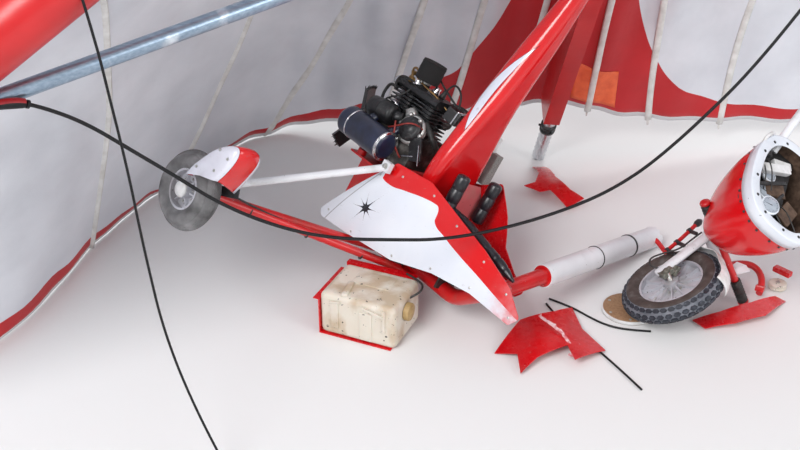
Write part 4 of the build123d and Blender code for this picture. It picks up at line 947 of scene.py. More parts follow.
# Air filter: a black foam sock over a steel cage, slightly barrelled where it is filled. A
# worm-drive clip of plated band holds it by its neck.
foam, tree, shader = material("black_filter_foam")
cell = tree.nodes.new("ShaderNodeTexVoronoi")
cell.inputs["Scale"].default_value = 260
tree.links.new(ramp_of(tree, cell.outputs["Distance"],
                       ((0.1, (0.004, 0.004, 0.004)), (0.7, (0.030, 0.030, 0.030)))),
               shader.inputs["Base Color"])
set_on(shader, Roughness=0.85)
bumped(tree, shader, cell.outputs["Distance"], 0.002, 0.8)
dress(foam, "air_filter")
sock = bmesh.new()
turned(sock, rear_place, ((-306, -20, 586), (-306, -20, 664), ((0, 0.040), (0.02, 0.048), (0.12, 0.0515),
                                                               (0.3, 0.0505), (0.5, 0.0520),
                                                               (0.7, 0.0505), (0.88, 0.0515),
                                                               (0.97, 0.046), (1, 0.030)), 48))
piece("air_filter_foam", sock, foam, "root")
clip = bmesh.new()
turned(clip, rear_place,
       ((-306, -20, 572), (-306, -20, 581), ((0, 0.0226), (0.1, 0.0240), (0.9, 0.0240), (1, 0.0226)), 36),
       ((-322, -44, 576), (-300, -48, 577), ((0, 0.0055), (0.8, 0.0055), (0.85, 0.007), (1, 0.007)), 12))
piece("air_filter_clip", clip, zinc, "root")

# Ignition and control leads: spark plug caps with their leads, coolant hoses, a brass fitting and
# the throttle cables, looped as they were pulled when the engine shifted.
for number, x in ((1, -224), (2, -348)):
    cap = bmesh.new()
    turned(cap, rear_place, ((x, 10, 553), (x + 4, 16, 592),
                             ((0, 0.013), (0.3, 0.013), (0.5, 0.010), (0.8, 0.010), (1, 0.006)), 18))
    piece(f"spark_plug_cap_{number}", cap, black_rubber, "root")
    hose(f"spark_lead_{number}", ((x + 4, 16, 588), (x + 8, 22, 618), (x + 44, 18, 630), (x + 96, 8, 600),
                                  (-124, 14, 556)),
         0.0042, black_rubber, place=rear_place)
for name, radius, look, way in (
        ("coolant_hose_upper", 0.0125, black_rubber,
         ((-180, 40, 545), (-140, 66, 560), (-90, 100, 520), (-50, 130, 470), (-36, 150, 440))),
        ("coolant_hose_lower", 0.0120, black_rubber,
         ((-170, -60, 452), (-120, -74, 430), (-90, -40, 390), (-110, 30, 350), (-150, 80, 330))),
        ("breather_hose", 0.0065, black_rubber,
         ((-400, -48, 500), (-440, -50, 508), (-452, -52, 470), (-446, -56, 430), (-424, -60, 402))),
        ("pulse_hose", 0.0048, black_rubber,
         ((-330, -64, 560), (-370, -78, 566), (-398, -80, 540), (-392, -74, 500)))):
    hose(name, way, radius, look, place=rear_place)
red_lead = grained("red_cable_sheath", (80, 6),
                   ((0.3, (0.14, 0.012, 0.010)), (0.7, (0.40, 0.035, 0.025))), (0.0002,), Roughness=0.45)
for name, radius, look, way in (
        ("throttle_cable_1", 0.0034, red_lead,
         ((-268, -140, 372), (-230, -150, 392), (-196, -146, 424), (-166, -120, 442), (-150, -90, 430))),
        ("throttle_cable_2", 0.0034, red_lead,
         ((-242, -150, 410), (-226, -152, 384), (-214, -150, 350), (-200, -130, 318), (-176, -104, 290))),
        ("choke_rod", 0.0034, brass,
         ((-300, -48, 572), (-262, -52, 566), (-220, -40, 560), (-176, -14, 540), (-140, 0, 522))),
        ("fuel_line", 0.0048, brass,
         ((-372, -22, 560), (-392, -30, 592), (-370, -40, 612), (-336, -48, 600), (-322, -52, 576))),
        ("earth_lead", 0.0036, black_rubber,
         ((-420, -60, 412), (-400, -90, 444), (-360, -96, 470), (-330, -80, 500), (-318, -70, 530)))):
    hose(name, way, radius, look, place=rear_place)
fittings = bmesh.new()
turned(fittings, rear_place,
       ((-382, -12, 553), (-386, -20, 590), ((0, 0.014), (0.3, 0.017), (0.6, 0.010), (1, 0.013)), 18),
       ((-350, -52, 553), (-352, -56, 574), ((0, 0.012), (0.5, 0.014), (1, 0.010)), 18))
piece("brass_fittings", fittings, brass, "root")

# Coil box and heel plate: a black ignition box strapped between the heads and the cowling, and a
# dark plate with a bright edge at the front of the engine mount.


def slab(build, place, centre, size, turn=(0, 0, 0), round_by=0.004):
    """A box with softly rounded edges, in a unit's own frame."""
    made = bmesh.ops.create_cube(build, size=1.0)["verts"]
    spin = Euler([math.radians(a) for a in turn]).to_matrix()
    edges = {e for v in made for e in v.link_edges}
    for v in made:
        v.co = Vector(v.co[i] * size[i] / 1000 for i in range(3))
    rounded = bmesh.ops.bevel(build, geom=list(edges), offset=round_by, segments=2, profile=0.7,
                              affect="EDGES")
    for v in {v for f in rounded["faces"] for v in f.verts} | {v for v in made if v.is_valid}:
        v.co = place @ (spin @ v.co + Vector(centre) / 1000)


box = bmesh.new()
slab(box, rear_place, (-124, 20, 524), (64, 78, 54), (0, 8, 14), 0.006)
slab(box, rear_place, (-128, -100, 352), (62, 10, 92), (8, -24, 0), 0.004)
piece("coil_box_and_heel_plate", box, engine_black, "root", smooth=False)
bands = bmesh.new()
for shift in (-18, 18):
    slab(bands, rear_place, (-124 + shift, 20, 524), (6, 81, 57), (0, 8, 14), 0.002)
slab(bands, rear_place, (-146, -106, 314), (60, 4, 5), (8, -24, 0), 0.001)
slab(bands, rear_place, (-96, -107, 340), (5, 4, 80), (8, -24, 0), 0.001)
piece("coil_straps", bands, chrome, "root", smooth=False)
hose("box_rod", ((-96, 10, 540), (-60, -10, 552), (-30, -30, 560), (-4, -36, 552)), 0.005, chrome,
     place=rear_place)

# Radiator and its bottle: a thin aluminium core with flattened fins, and a white moulded coolant
# bottle.
core, tree, shader = material("radiator_core")
fins = tree.nodes.new("ShaderNodeTexWave")
fins.inputs["Scale"].default_value = 90
fins.inputs["Distortion"].default_value = 2
tree.links.new(ramp_of(tree, fins.outputs["Fac"], ((0.2, (0.20, 0.20, 0.19)), (0.8, (0.44, 0.43, 0.41)))),
               shader.inputs["Base Color"])
set_on(shader, Metallic=0.6, Roughness=0.45)
bumped(tree, shader, fins.outputs["Fac"], 0.001)
dress(core, "radiator")
moulded = grained("white_moulded_plastic", (30, 6),
                  ((0.3, (0.60, 0.60, 0.58)), (0.7, (0.84, 0.84, 0.86))), (0.001, 0.3), Roughness=0.3)
dress(moulded, "coolant_bottle")

# Propeller: black carbon blades on a hub with six bolts. The blades have snapped off short, and
# splinters of the cloth stand out of each break.
carbon, tree, shader = material("carbon_blade")
cloth = tree.nodes.new("ShaderNodeTexChecker")
cloth.inputs["Scale"].default_value = 300
cloth.inputs["Color1"].default_value = (0.012, 0.012, 0.013, 1)
cloth.inputs["Color2"].default_value = (0.034, 0.034, 0.036, 1)
tree.links.new(cloth.outputs["Color"], shader.inputs["Base Color"])
set_on(shader, Roughness=0.3, Coat_Weight=0.4)
bumped(tree, shader, noise_of(tree, 90, 5), 0.0004)
dress(carbon, "propeller")
prop_place = rear_place @ Matrix.Translation(Vector((-0.527, 0, 0.2973)))
splinters = bmesh.new()
random.seed(23)
for turn in (20, 140, 260):
    blade = prop_place @ Matrix.Rotation(math.radians(turn), 4, "X")
    for _ in range(34):
        x, y = random.uniform(-6, 6), random.uniform(-28, 28)
        top = 148 + random.uniform(3, 15)
        lean = random.uniform(-4, 4)
        turned(splinters, blade,
               ((x, y, 143), (x + lean, y + lean, top), ((0, 0.0022), (0.6, 0.0014), (1, 0.0003)), 5))
piece("propeller_splinters", splinters, carbon, "propeller", smooth=False)
hub_bolts = bmesh.new()
for k in range(6):
    a = math.radians(60 * k + 12)
    foot = local(prop_place, -15, 36 * math.cos(a), 36 * math.sin(a))
    bolt(hub_bolts, foot, local(prop_place, -1000, 0, 0) - local(prop_place, 0, 0, 0), 0.0062, 0.009)
piece("propeller_hub_bolts", hub_bolts, zinc, "propeller", smooth=False)

# Tyres: black rubber carcasses under pale dust. The rear pair are ribbed and worn; the front one
# has four staggered rows of tread blocks.
right_wheel_place = rear_place @ Matrix.Translation(Vector((-0.335, -0.857, -0.072)))
left_wheel_place = resting((250, 30, 63.2), 40.0, 0.0, -82.0)
front_place = resting((1044, -692, 128), -160.9, 23.6, -80.7)
dusty_rubber, tree, shader = material("dusty_tyre_rubber")
dust = noise_of(tree, 16, 8)
tree.links.new(ramp_of(tree, dust, ((0.28, (0.075, 0.073, 0.074)), (0.5, (0.17, 0.168, 0.172)),
                                    (0.75, (0.30, 0.295, 0.30)))), shader.inputs["Base Color"])
set_on(shader, Roughness=0.8)
bumped(tree, shader, noise_of(tree, 120, 6), 0.0008)
dress(dusty_rubber, "rear_tyre_right", "rear_tyre_left")
dark_rubber, tree, shader = material("front_tyre_rubber")
here = tree.nodes.new("ShaderNodeSeparateXYZ")
tree.links.new(local_coords(tree, front_place), here.inputs["Vector"])
dust = noise_of(tree, 24, 8)
sidewall = ramp_of(tree, dust, ((0.3, (0.045, 0.031, 0.027)), (0.55, (0.080, 0.060, 0.054)),
                                (0.8, (0.17, 0.16, 0.16))))
groove = ramp_of(tree, dust,
                 ((0.3, (0.10, 0.11, 0.13)), (0.55, (0.17, 0.18, 0.21)), (0.8, (0.26, 0.27, 0.30))))
TREAD_HALF = 0.037
in_tread = math_node(tree, "LESS_THAN", math_node(tree, "ABSOLUTE", here.outputs["Y"]), TREAD_HALF)
off_axle = math_node(tree, "ADD", math_node(tree, "MULTIPLY", here.outputs["X"], here.outputs["X"]),
                     math_node(tree, "MULTIPLY", here.outputs["Z"], here.outputs["Z"]))
in_tread = math_node(tree, "MULTIPLY", in_tread, math_node(tree, "GREATER_THAN", off_axle, 0.166 ** 2))
tree.links.new(mixed(tree, in_tread, sidewall, groove), shader.inputs["Base Color"])
set_on(shader, Roughness=0.75)
bumped(tree, shader, noise_of(tree, 150, 6), 0.0006)
dress(dark_rubber, "front_tyre")
tread_rubber = grained("tread_block_rubber", (50, 7), ((0.35, (0.010, 0.012, 0.020)),
                                                       (0.6, (0.030, 0.034, 0.048)),
                                                       (0.8, (0.13, 0.14, 0.17))), (0.0008,),
                       Roughness=0.6)


def tyre_surface(outer, half, y):
    """Height of a tyre's tread over its axle at a place across it, and how far it leans there."""
    shoulder = half * 0.62
    crown = (shoulder ** 2 + 16 ** 2) / 32
    if abs(y) <= shoulder:
        lift = math.sqrt(crown ** 2 - y * y)
        return outer - crown + lift, math.atan2(y, lift)
    share = (abs(y) - shoulder) / (half - shoulder)
    return outer - 16 - 15 * share, math.copysign(0.80 + 0.35 * share, y)


def tread(build, place, outer, half, rows, count, block, proud):
    """Blocks round a tyre: rows gives each row's place across it and its stagger."""
    for y, stagger in rows:
        radius, lean = tyre_surface(outer, half, y)
        for k in range(count):
            a = 2 * math.pi * (k + stagger) / count
            out = Vector((math.cos(lean) * math.cos(a), math.sin(lean), math.cos(lean) * math.sin(a)))
            round_way = Vector((-math.sin(a), 0, math.cos(a)))
            cross = out.cross(round_way)
            centre = Vector((radius * math.cos(a), y, radius * math.sin(a)))
            corners = []
            long_way, cross_way = round_way * block[0] / 2, cross * block[1] / 2
            for level, spread in ((-2.0, 1.0), (proud, 0.92)):
                for p, q in ((-0.5, -1), (0.5, -1), (1, 0), (0.5, 1), (-0.5, 1), (-1, 0)):
                    spot = centre + out * level + (long_way * p + cross_way * q) * spread
                    corners.append(build.verts.new(local(place, *spot)))
            low, high = corners[:6], corners[6:]
            build.faces.new(high)
            for i in range(6):
                build.faces.new((low[i], low[(i + 1) % 6], high[(i + 1) % 6], high[i]))


blocks = bmesh.new()
tread(blocks, front_place, outer=197.5, half=41, rows=((-28, 0.5), (-9.5, 0), (9.5, 0.5), (28, 0)),
      count=38, block=(30.0, 17.0), proud=5.0)
face_out(blocks)
piece("front_tread_blocks", blocks, tread_rubber, "front_wheel", smooth=False)
for place, body, name in ((right_wheel_place, "right_wheel", "right"),
                          (left_wheel_place, "left_wheel", "left")):
    ribs = bmesh.new()
    tread(ribs, place, outer=145, half=46, rows=((-19, 0), (-9.5, 0.5), (0, 0), (9.5, 0.5), (19, 0)),
          count=60, block=(16.5, 7.4), proud=1.4)
    face_out(ribs)
    piece(f"rear_tread_{name}", ribs, dusty_rubber, body, smooth=False)

# Rims: split aluminium rims sprayed pale grey, with stiffening ribs, a valve and clamp bolts. The
# right rear one has a white cap over its hub.
rim_paint = coated("pale_grey_rim_paint", (0.58, 0.58, 0.63), (0.40, 0.40, 0.44), (0.10, 0.10, 0.10),
                   roughness=0.4, chips=0.66, dirt=(0.14, 0.12, 0.10), soiled=0.60)
dress(rim_paint, "rear_rim_right", "rear_rim_left", "front_rim")
for place, body, name, inner, outer, half, arms in (
        (front_place, "front_wheel", "front", 32, 117, 26, 12),
        (right_wheel_place, "right_wheel", "right", 32, 66, 30, 6),
        (left_wheel_place, "left_wheel", "left", 32, 66, 30, 6)):
    rib = bmesh.new()
    for face in (-1, 1):
        for k in range(arms):
            a = 2 * math.pi * k / arms
            across = Vector((-math.sin(a), 0, math.cos(a)))
            out = Vector((math.cos(a), 0, math.sin(a)))
            rows = []
            for run, tall, thick in ((inner - 2, half * 0.62, 4.5), ((inner + outer) / 2, half * 0.32, 3.2),
                                     (outer + 2, half * 0.42, 4.0)):
                foot, crest = face * 4.5, face * (5 + tall)
                rows.append([rib.verts.new(local(place,
                                                 *(out * run + across * s * thick + Vector((0, y, 0)))))
                             for s, y in ((-1.5, foot), (-0.7, crest), (0.7, crest), (1.5, foot))])
            skin(rib, rows)
    face_out(rib)
    piece(f"rim_ribs_{name}", rib, rim_paint, body, smooth=False)
    small = bmesh.new()
    for k in range(arms):
        a = 2 * math.pi * (k + 0.5) / arms
        spot = Vector((math.cos(a), 0, math.sin(a))) * (inner + 12)
        for face in (-1, 1):
            foot = local(place, spot.x, face * 5, spot.z)
            bolt(small, foot, local(place, 0, face * 1000, 0) - local(place, 0, 0, 0), 0.0045, 0.007)
    valve = Vector((math.cos(0.3), 0, math.sin(0.3)))
    turned(small, place, ((valve.x * (outer - 3), -8, valve.z * (outer - 3)),
                          (valve.x * (outer - 30), -16, valve.z * (outer - 30)),
                          ((0, 0.004), (0.5, 0.004), (0.55, 0.003), (1, 0.0028)), 12))
    piece(f"rim_bolts_{name}", small, zinc, body, smooth=False)
cap = bmesh.new()
turned(cap, right_wheel_place, ((0, -36.9, 0), (0, -52, 0),
                                ((0, 0.031), (0.3, 0.0305), (0.7, 0.026), (0.92, 0.014), (1, 0.006)), 36))
piece("right_hub_cap", cap, moulded, "right_wheel")

# Right wheel spat: the front half of a moulded glass-fibre wheel cover, broken off level with the
# hub. White sides and a red band along its crown, carried on the leg by a bent black plate.
spat_paint, tree, shader = material("spat_white_and_red")
here = tree.nodes.new("ShaderNodeSeparateXYZ")
tree.links.new(local_coords(tree, right_wheel_place), here.inputs["Vector"])
cloud = noise_of(tree, 9, 6)
white = ramp_of(tree, cloud, ((0.3, (0.66, 0.66, 0.74)), (0.7, (0.78, 0.79, 0.88))))
red = ramp_of(tree, cloud, ((0.3, (0.56, 0.003, 0.005)), (0.7, (0.74, 0.006, 0.008))))
RED_FROM, RED_TO, LINE = -0.052, 0.040, 0.0025
across = here.outputs["Y"]
in_line = math_node(tree, "MULTIPLY", math_node(tree, "GREATER_THAN", across, RED_FROM - LINE),
                    math_node(tree, "LESS_THAN", across, RED_TO + LINE))
in_red = math_node(tree, "MULTIPLY", math_node(tree, "GREATER_THAN", across, RED_FROM),
                   math_node(tree, "LESS_THAN", across, RED_TO))
base = mixed(tree, in_red, mixed(tree, in_line, white, (0.32, 0.01, 0.02)), red)
scrape = ramp_of(tree, noise_of(tree, 60, 9, (1, 1, 2.5)), ((0.66, (0, 0, 0)), (0.75, (0.5, 0.5, 0.5))))
tree.links.new(mixed(tree, scrape, base, (0.16, 0.12, 0.16)), shader.inputs["Base Color"])
set_on(shader, Roughness=0.22, Coat_Weight=0.4, Coat_Roughness=0.12)
bumped(tree, shader, cloud, 0.003, 0.25)
SPAT_CENTRE = (0.095, 0.100)
# Columns: along and up in the wheel's own frame, from the low tail over the top to the nose
SPAT_SIDE = ((0.012, 0.064), (0.034, 0.116), (0.074, 0.177), (0.110, 0.222), (0.150, 0.252),
             (0.185, 0.266), (0.206, 0.262), (0.214, 0.238), (0.208, 0.203), (0.192, 0.160),
             (0.172, 0.121))
# Columns: place across the wheel, share of the side's outline
SPAT_ROUND = ((-0.071, 0.0), (-0.0725, 0.45), (-0.072, 0.78), (-0.068, 0.90), (-0.058, 0.965),
              (-0.040, 1.0), (-0.010, 1.02), (0.020, 1.0), (0.044, 0.94), (0.060, 0.86), (0.068, 0.77),
              (0.070, 0.70))
spat = bmesh.new()
rings = []
for y, share in SPAT_ROUND:
    hang = min(1.0, max(0.0, (y + 0.05) / 0.11))
    ring = []
    steps = 6 * (len(SPAT_SIDE) - 1)
    for k in range(steps + 1):
        spot = smooth_between([Vector((p[0], 0, p[1])) for p in SPAT_SIDE], k / 6)
        low = max(0.0, 1 - (spot.z - 0.10) / 0.09) if k > steps / 2 else 0.0
        x = SPAT_CENTRE[0] + (spot.x - SPAT_CENTRE[0]) * share - 0.016 * hang * low
        z = SPAT_CENTRE[1] + (spot.z - SPAT_CENTRE[1]) * share - 0.052 * hang * min(low, 1.0)
        ring.append(spat.verts.new(right_wheel_place @ Vector((x, y, z))))
    rings.append(ring)
skin(spat, rings, closed=False, ended=False)
bmesh.ops.remove_doubles(spat, verts=spat.verts, dist=0.0002)
face_out(spat)
spat_shell = piece("wheel_spat_right", spat, spat_paint, "root")
thicken(spat_shell, 0.0035, -1)
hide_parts("spat_right")
plate = bmesh.new()
slab(plate, right_wheel_place, (112, 64, 66), (120, 3, 36), (0, -22, 0), 0.001)
slab(plate, right_wheel_place, (30, 66, 30), (100, 4, 36), (0, -40, 0), 0.001)
piece("spat_bracket", plate, black_plastic, "root", smooth=False)
screws = bmesh.new()
for x, z in ((0.060, 0.118), (0.150, 0.150), (0.186, 0.214), (0.132, 0.222)):
    foot = right_wheel_place @ Vector((x, -0.0725, z))
    bolt(screws, foot, local(right_wheel_place, 0, -1000, 0) - local(right_wheel_place, 0, 0, 0), 0.004,
         0.004)
piece("spat_screws", screws, zinc, "root", smooth=False)

# Fuel tank: a moulded polyethylene can, cream and stained with earth, with a strap groove, a
# moulded handle ridge and a screw cap. It has tipped out of its red sheet-metal tray.
tank_place = resting((-112, -770, 94.3), -24.0, 0.0, 0.0)
cream, tree, shader = material("cream_polyethylene")
tint = noise_of(tree, 5, 6)
stain = noise_of(tree, 9, 7, (1, 1.3, 0.7))
pale = ramp_of(tree, tint, ((0.3, (0.66, 0.58, 0.48)), (0.7, (0.72, 0.68, 0.60))))
earth = ramp_of(tree, stain, ((0.46, (0, 0, 0)), (0.62, (0.75, 0.75, 0.75))))
speck = ramp_of(tree, noise_of(tree, 62, 2), ((0.685, (0, 0, 0)), (0.70, (1, 1, 1))))
soiled = mixed(tree, earth, pale, (0.46, 0.33, 0.20))
tree.links.new(mixed(tree, speck, soiled, (0.03, 0.02, 0.02)), shader.inputs["Base Color"])
set_on(shader, Roughness=0.46, Subsurface_Weight=0.08, Subsurface_Scale=0.02)
bumped(tree, shader, tint, 0.002, 0.4)
dress(cream, "fuel_tank")
cream_cap = grained("ochre_cap_plastic", (30, 6), ((0.3, (0.30, 0.19, 0.07)), (0.7, (0.48, 0.33, 0.15))),
                    (0.001,), Roughness=0.5)
cap = bmesh.new()
turned(cap, tank_place, ((155.3, -20, 30), (183, -20, 30), ((0, 0.026), (0.04, 0.034), (0.72, 0.034),
                                                            (0.82, 0.032), (0.84, 0.026), (0.90, 0.024),
                                                            (0.92, 0.014), (1, 0.013)), 48))
for k in range(24):
    a = 2 * math.pi * k / 24
    turned(cap, tank_place, ((157, -20 + 33.2 * math.cos(a), 30 + 33.2 * math.sin(a)),
                             (175, -20 + 33.2 * math.cos(a), 30 + 33.2 * math.sin(a)),
                             ((0, 0.0008), (0.1, 0.0016), (0.9, 0.0016), (1, 0.0008)), 6))
filler_cap = piece("fuel_tank_screw_cap", cap, cream_cap, "root", smooth=False)
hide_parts("tank_cap")
moulding = bmesh.new()
slab(moulding, tank_place, (-62, -60, 91), (26, 94, 16), (0, 0, 8), 0.007)
slab(moulding, tank_place, (-92, -118, 6), (34, 8, 118), (0, 0, 0), 0.003)
slab(moulding, tank_place, (36, -118, -14), (52, 7, 122), (0, 0, 0), 0.003)
slab(moulding, tank_place, (108, -118, 26), (16, 9, 96), (0, 0, 0), 0.004)
slab(moulding, tank_place, (4, 34, 90), (150, 86, 6), (0, 0, 0), 0.003)
turned(moulding, tank_place, ((151, -20, 30), (155, -20, 30), ((0, 0.047), (0.5, 0.045), (1, 0.040)), 40))
piece("fuel_tank_mouldings", moulding, cream, "root")
rods = bmesh.new()
slab(rods, tank_place, (66, -123, 58), (88, 7, 9), (0, 14, 0), 0.002)
slab(rods, tank_place, (-88, -123, 64), (46, 6, 8), (0, -10, 0), 0.002)
piece("fuel_tank_strap_bars", rods, cream, "root", smooth=False)
tray_rivets = bmesh.new()
for k in range(5):
    out = local(tank_place, -1000, 0, 0) - local(tank_place, 0, 0, 0)
    foot = local(tank_place, -159.2, -90 + 46 * k, 20)
    ring_along(tray_rivets, foot, foot + out.normalized() * 0.0025,
               ((0, 0.0045), (0.5, 0.004), (1, 0.0022)), 12)
piece("tray_rivets", tray_rivets, zinc, "root")
hose("fuel_line",
     ((150, 20, 60), (172, 30, 74), (186, 56, 82), (176, 92, 84), (140, 112, 88), (96, 122, 96)), 0.0042,
     black_rubber, place=tank_place)

# Nose pod: a moulded glass-fibre hull, glossy red outside and bare brown inside, open where the
# cockpit began, with a white rivetted band and lip round its mouth. It has torn off the trike.
pod_place = resting((1200, -550, 295), -44.6, -46.0, 27.5)
pod_red, tree, shader = material("pod_red_gel_coat")
cloud = noise_of(tree, 5, 5)
red = ramp_of(tree, cloud, ((0.3, (0.62, 0.003, 0.006)), (0.7, (0.74, 0.004, 0.008))))
scuff_and_glare_pattern = ramp_of(tree, noise_of(tree, 34, 8, (1, 1, 2)), ((0.70, (0, 0, 0)), (0.82, (0.25, 0.25, 0.25))))
tree.links.new(mixed(tree, scuff_and_glare_pattern, red, (0.42, 0.16, 0.15)), shader.inputs["Base Color"])
set_on(shader, Roughness=0.26, Coat_Weight=0.25, Coat_Roughness=0.1)
bumped(tree, shader, cloud, 0.001, 0.1)
brown_inside = grained("brown_bare_laminate", (48, 8),
                       ((0.3, (0.055, 0.030, 0.020)), (0.7, (0.17, 0.105, 0.070))), (0.0015,),
                       Roughness=0.72)
POD_LONG, POD_HALF_WIDE, POD_HALF_HIGH = 0.395, 0.215, 0.169
# Columns: share of the length from the tip, of the width, of the height
POD_ROWS = ((0.0, 0.0, 0.0), (0.012, 0.13, 0.13), (0.05, 0.30, 0.29), (0.12, 0.475, 0.455),
            (0.25, 0.665, 0.63), (0.42, 0.815, 0.785), (0.65, 0.94, 0.92), (0.84, 0.985, 0.975),
            (1.0, 1.0, 1.0))


def pod_point(share_row, turn, proud=0.0):
    """A point on the hull, by its place in the table of rows and its turn round the hull."""
    row = smooth_between([Vector(r) for r in POD_ROWS], share_row)
    c, s = math.cos(turn), math.sin(turn)
    y = math.copysign(abs(c) ** 0.78, c) * (POD_HALF_WIDE * max(row.y, 0) + proud)
    z = math.copysign(abs(s) ** 0.78, s) * (POD_HALF_HIGH * max(row.z, 0) + proud)
    return pod_place @ Vector((POD_LONG * row.x, y, z))


hull = bmesh.new()
around = 96
rows = []
for k in range(8 * (len(POD_ROWS) - 1) + 1):
    rows.append([hull.verts.new(pod_point(k / 8, 2 * math.pi * j / around)) for j in range(around)])
skin(hull, rows, ended=False)
bmesh.ops.remove_doubles(hull, verts=hull.verts, dist=0.0001)
face_out(hull)
pod_hull = piece("nose_pod_hull", hull, [pod_red, brown_inside], "root")
thicken(pod_hull, 0.004, -1).material_offset = 1
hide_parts("pod_shell")
band = bmesh.new()
BAND_FROM = 6.0 + 2 * (0.862 - 0.65) / 0.35
# Columns: place in the table of rows, how far it stands proud, run past the mouth
BAND_PROFILE = ((BAND_FROM, 0.0002, 0.0), (BAND_FROM, 0.0026, 0.0), (7.6, 0.0030, 0.0),
                (8.0, 0.0030, 0.0), (8.0, 0.0022, 0.0024), (8.0, -0.004, 0.0028), (8.0, -0.034, 0.0022),
                (8.0, -0.037, 0.0006), (8.0, -0.034, -0.0010), (8.0, -0.006, -0.0006))
rows = []
pod_forward = (local(pod_place, 1000, 0, 0) - local(pod_place, 0, 0, 0)).normalized()
for share_row, proud, past in BAND_PROFILE:
    rows.append([band.verts.new(pod_point(share_row, 2 * math.pi * j / around, proud) + pod_forward * past)
                 for j in range(around)])
skin(band, rows + rows[:1], ended=False)
face_out(band)
band_white = coated("white_edge_band", (0.80, 0.84, 0.90), (0.68, 0.72, 0.79), (0.22, 0.22, 0.23),
                    roughness=0.3, chips=0.72, dirt=(0.30, 0.29, 0.28), soiled=0.76)
pod_band = piece("pod_rim_band", band, band_white, "root")
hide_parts("pod_trim")
screws = bmesh.new()
for k in range(26):
    turn = 2 * math.pi * (k + 0.3) / 26
    foot = pod_point(7.05, turn, 0.0026)
    out = (pod_point(7.05, turn, 0.0126) - foot).normalized()
    ring_along(screws, foot, foot + out * 0.0030, ((0, 0.0052), (0.5, 0.0046), (1, 0.0024)), 12)
    if k % 2:
        foot = pod_point(8.0, turn, -0.022) + pod_forward * 0.0024
        ring_along(screws, foot, foot + pod_forward * 0.0030, ((0, 0.0060), (0.5, 0.0054), (1, 0.0028)), 12)
piece("pod_rim_screws", screws, black_plastic, "root")

# Instruments: a dark panel with two gauges, and a third gauge set in the white lip, a switch box
# and map pockets that hang at the mouth of the pod, with their leads pulled out.
panel_dark = grained("panel_composite", (90, 6),
                     ((0.3, (0.016, 0.016, 0.018)), (0.75, (0.050, 0.048, 0.048))), (0.0005,),
                     Roughness=0.5)
dress(panel_dark, "instrument_panel")
dial_glass = grained("gauge_glass", (40, 4), ((0.3, (0.30, 0.34, 0.40)), (0.7, (0.44, 0.48, 0.54))),
                     (0.0003,), Roughness=0.12, Coat_Weight=0.6)
bezels, faces, marks = bmesh.new(), bmesh.new(), bmesh.new()
GAUGES = (((346, -43.4, 67.6), (1, 0, 0), 31), ((346, 43.4, 67.6), (1, 0, 0), 31),
          ((394, -138, 60), (0.97, -0.12, 0.18), 34))
for centre, way, radius in GAUGES:
    facing = Vector(way).normalized()
    across = facing.orthogonal().normalized()
    upward = facing.cross(across)
    start = Vector(centre)
    end = start + facing * 9
    r = radius / 1000
    turned(bezels, pod_place, (start - facing * 22, end, ((0, r * 0.8), (0.55, r * 0.84), (0.6, r * 1.06),
                                                          (0.9, r * 1.08), (1, r * 0.98)), 40))
    turned(faces, pod_place,
           (end - facing * 1.5, end + facing * 0.6, ((0, r * 0.93), (0.8, r * 0.93), (1, r * 0.90)), 40))
    for k in range(24):
        a = 2 * math.pi * k / 24
        inner = 0.66 if k % 3 == 0 else 0.76
        rim_way = across * math.cos(a) + upward * math.sin(a)
        p, q = end + facing * 0.7 + rim_way * radius * inner, end + facing * 0.7 + rim_way * radius * 0.86
        turned(marks, pod_place, (p, q, ((0, 0.0006), (1, 0.0006)), 6))
    hand = across * math.cos(0.9) + upward * math.sin(0.9)
    turned(marks, pod_place, (end + facing * 0.9 - hand * 5, end + facing * 0.9 + hand * radius * 0.62,
                              ((0, 0.0016), (1, 0.0005)), 6))
piece("gauge_bezels", bezels, band_white, "root")
piece("gauge_faces", faces, dial_glass, "root")
piece("gauge_marks", marks, black_plastic, "root")
boxes = bmesh.new()
slab(boxes, pod_place, (368, 62, 64), (26, 34, 148), (34, 0, 0), 0.005)
slab(boxes, pod_place, (356, 118, 30), (20, 30, 84), (26, 0, 0), 0.004)
piece("switch_box", boxes, moulded, "root", smooth=False)
dark = bmesh.new()
slab(dark, pod_place, (374, 96, 116), (20, 22, 34), (30, 0, 0), 0.003)
slab(dark, pod_place, (378, -20, 66), (8, 14, 150), (40, 0, 0), 0.003)
slab(dark, pod_place, (372, -62, 18), (12, 90, 12), (-22, 0, 0), 0.003)
piece("panel_levers", dark, black_plastic, "root", smooth=False)
pocket = bmesh.new()
slab(pocket, pod_place, (352, -6, 28), (10, 60, 96), (28, 0, 0), 0.006)
slab(pocket, pod_place, (350, -62, -52), (10, 96, 62), (-18, 0, 0), 0.006)
piece("brown_map_pockets", pocket, brown_inside, "root", smooth=False)
for number, points in enumerate((
        ((352, 60, 120), (384, 72, 134), (398, 40, 104), (392, -8, 78), (380, -52, 60)),
        ((346, -44, 68), (380, -30, 96), (390, 4, 110), (376, 44, 118)),
        ((372, -118, 56), (396, -150, 30), (396, -182, -10), (391, -194, -44)),
        ((350, -60, 20), (388, -86, -6), (398, -140, -48), (391, -174, -90)))):
    hose(f"instrument_lead_{number + 1}", points, 0.0024, black_rubber, place=pod_place)
hose("clear_breather_hose",
     ((372, 92, 142), (392, 118, 158), (404, 150, 150), (400, 184, 130), (384, 187, 110)), 0.0065,
     moulded, place=pod_place)

# Front fork: two oval steel legs in white powder coat, clamped to the axle by alloy blocks, with a
# crown, a moulded white mudguard over the tyre and the red steering rod along the upper leg.
fork_place = front_place @ Matrix.Rotation(math.radians(-10), 4, "Y")
fork = bmesh.new()


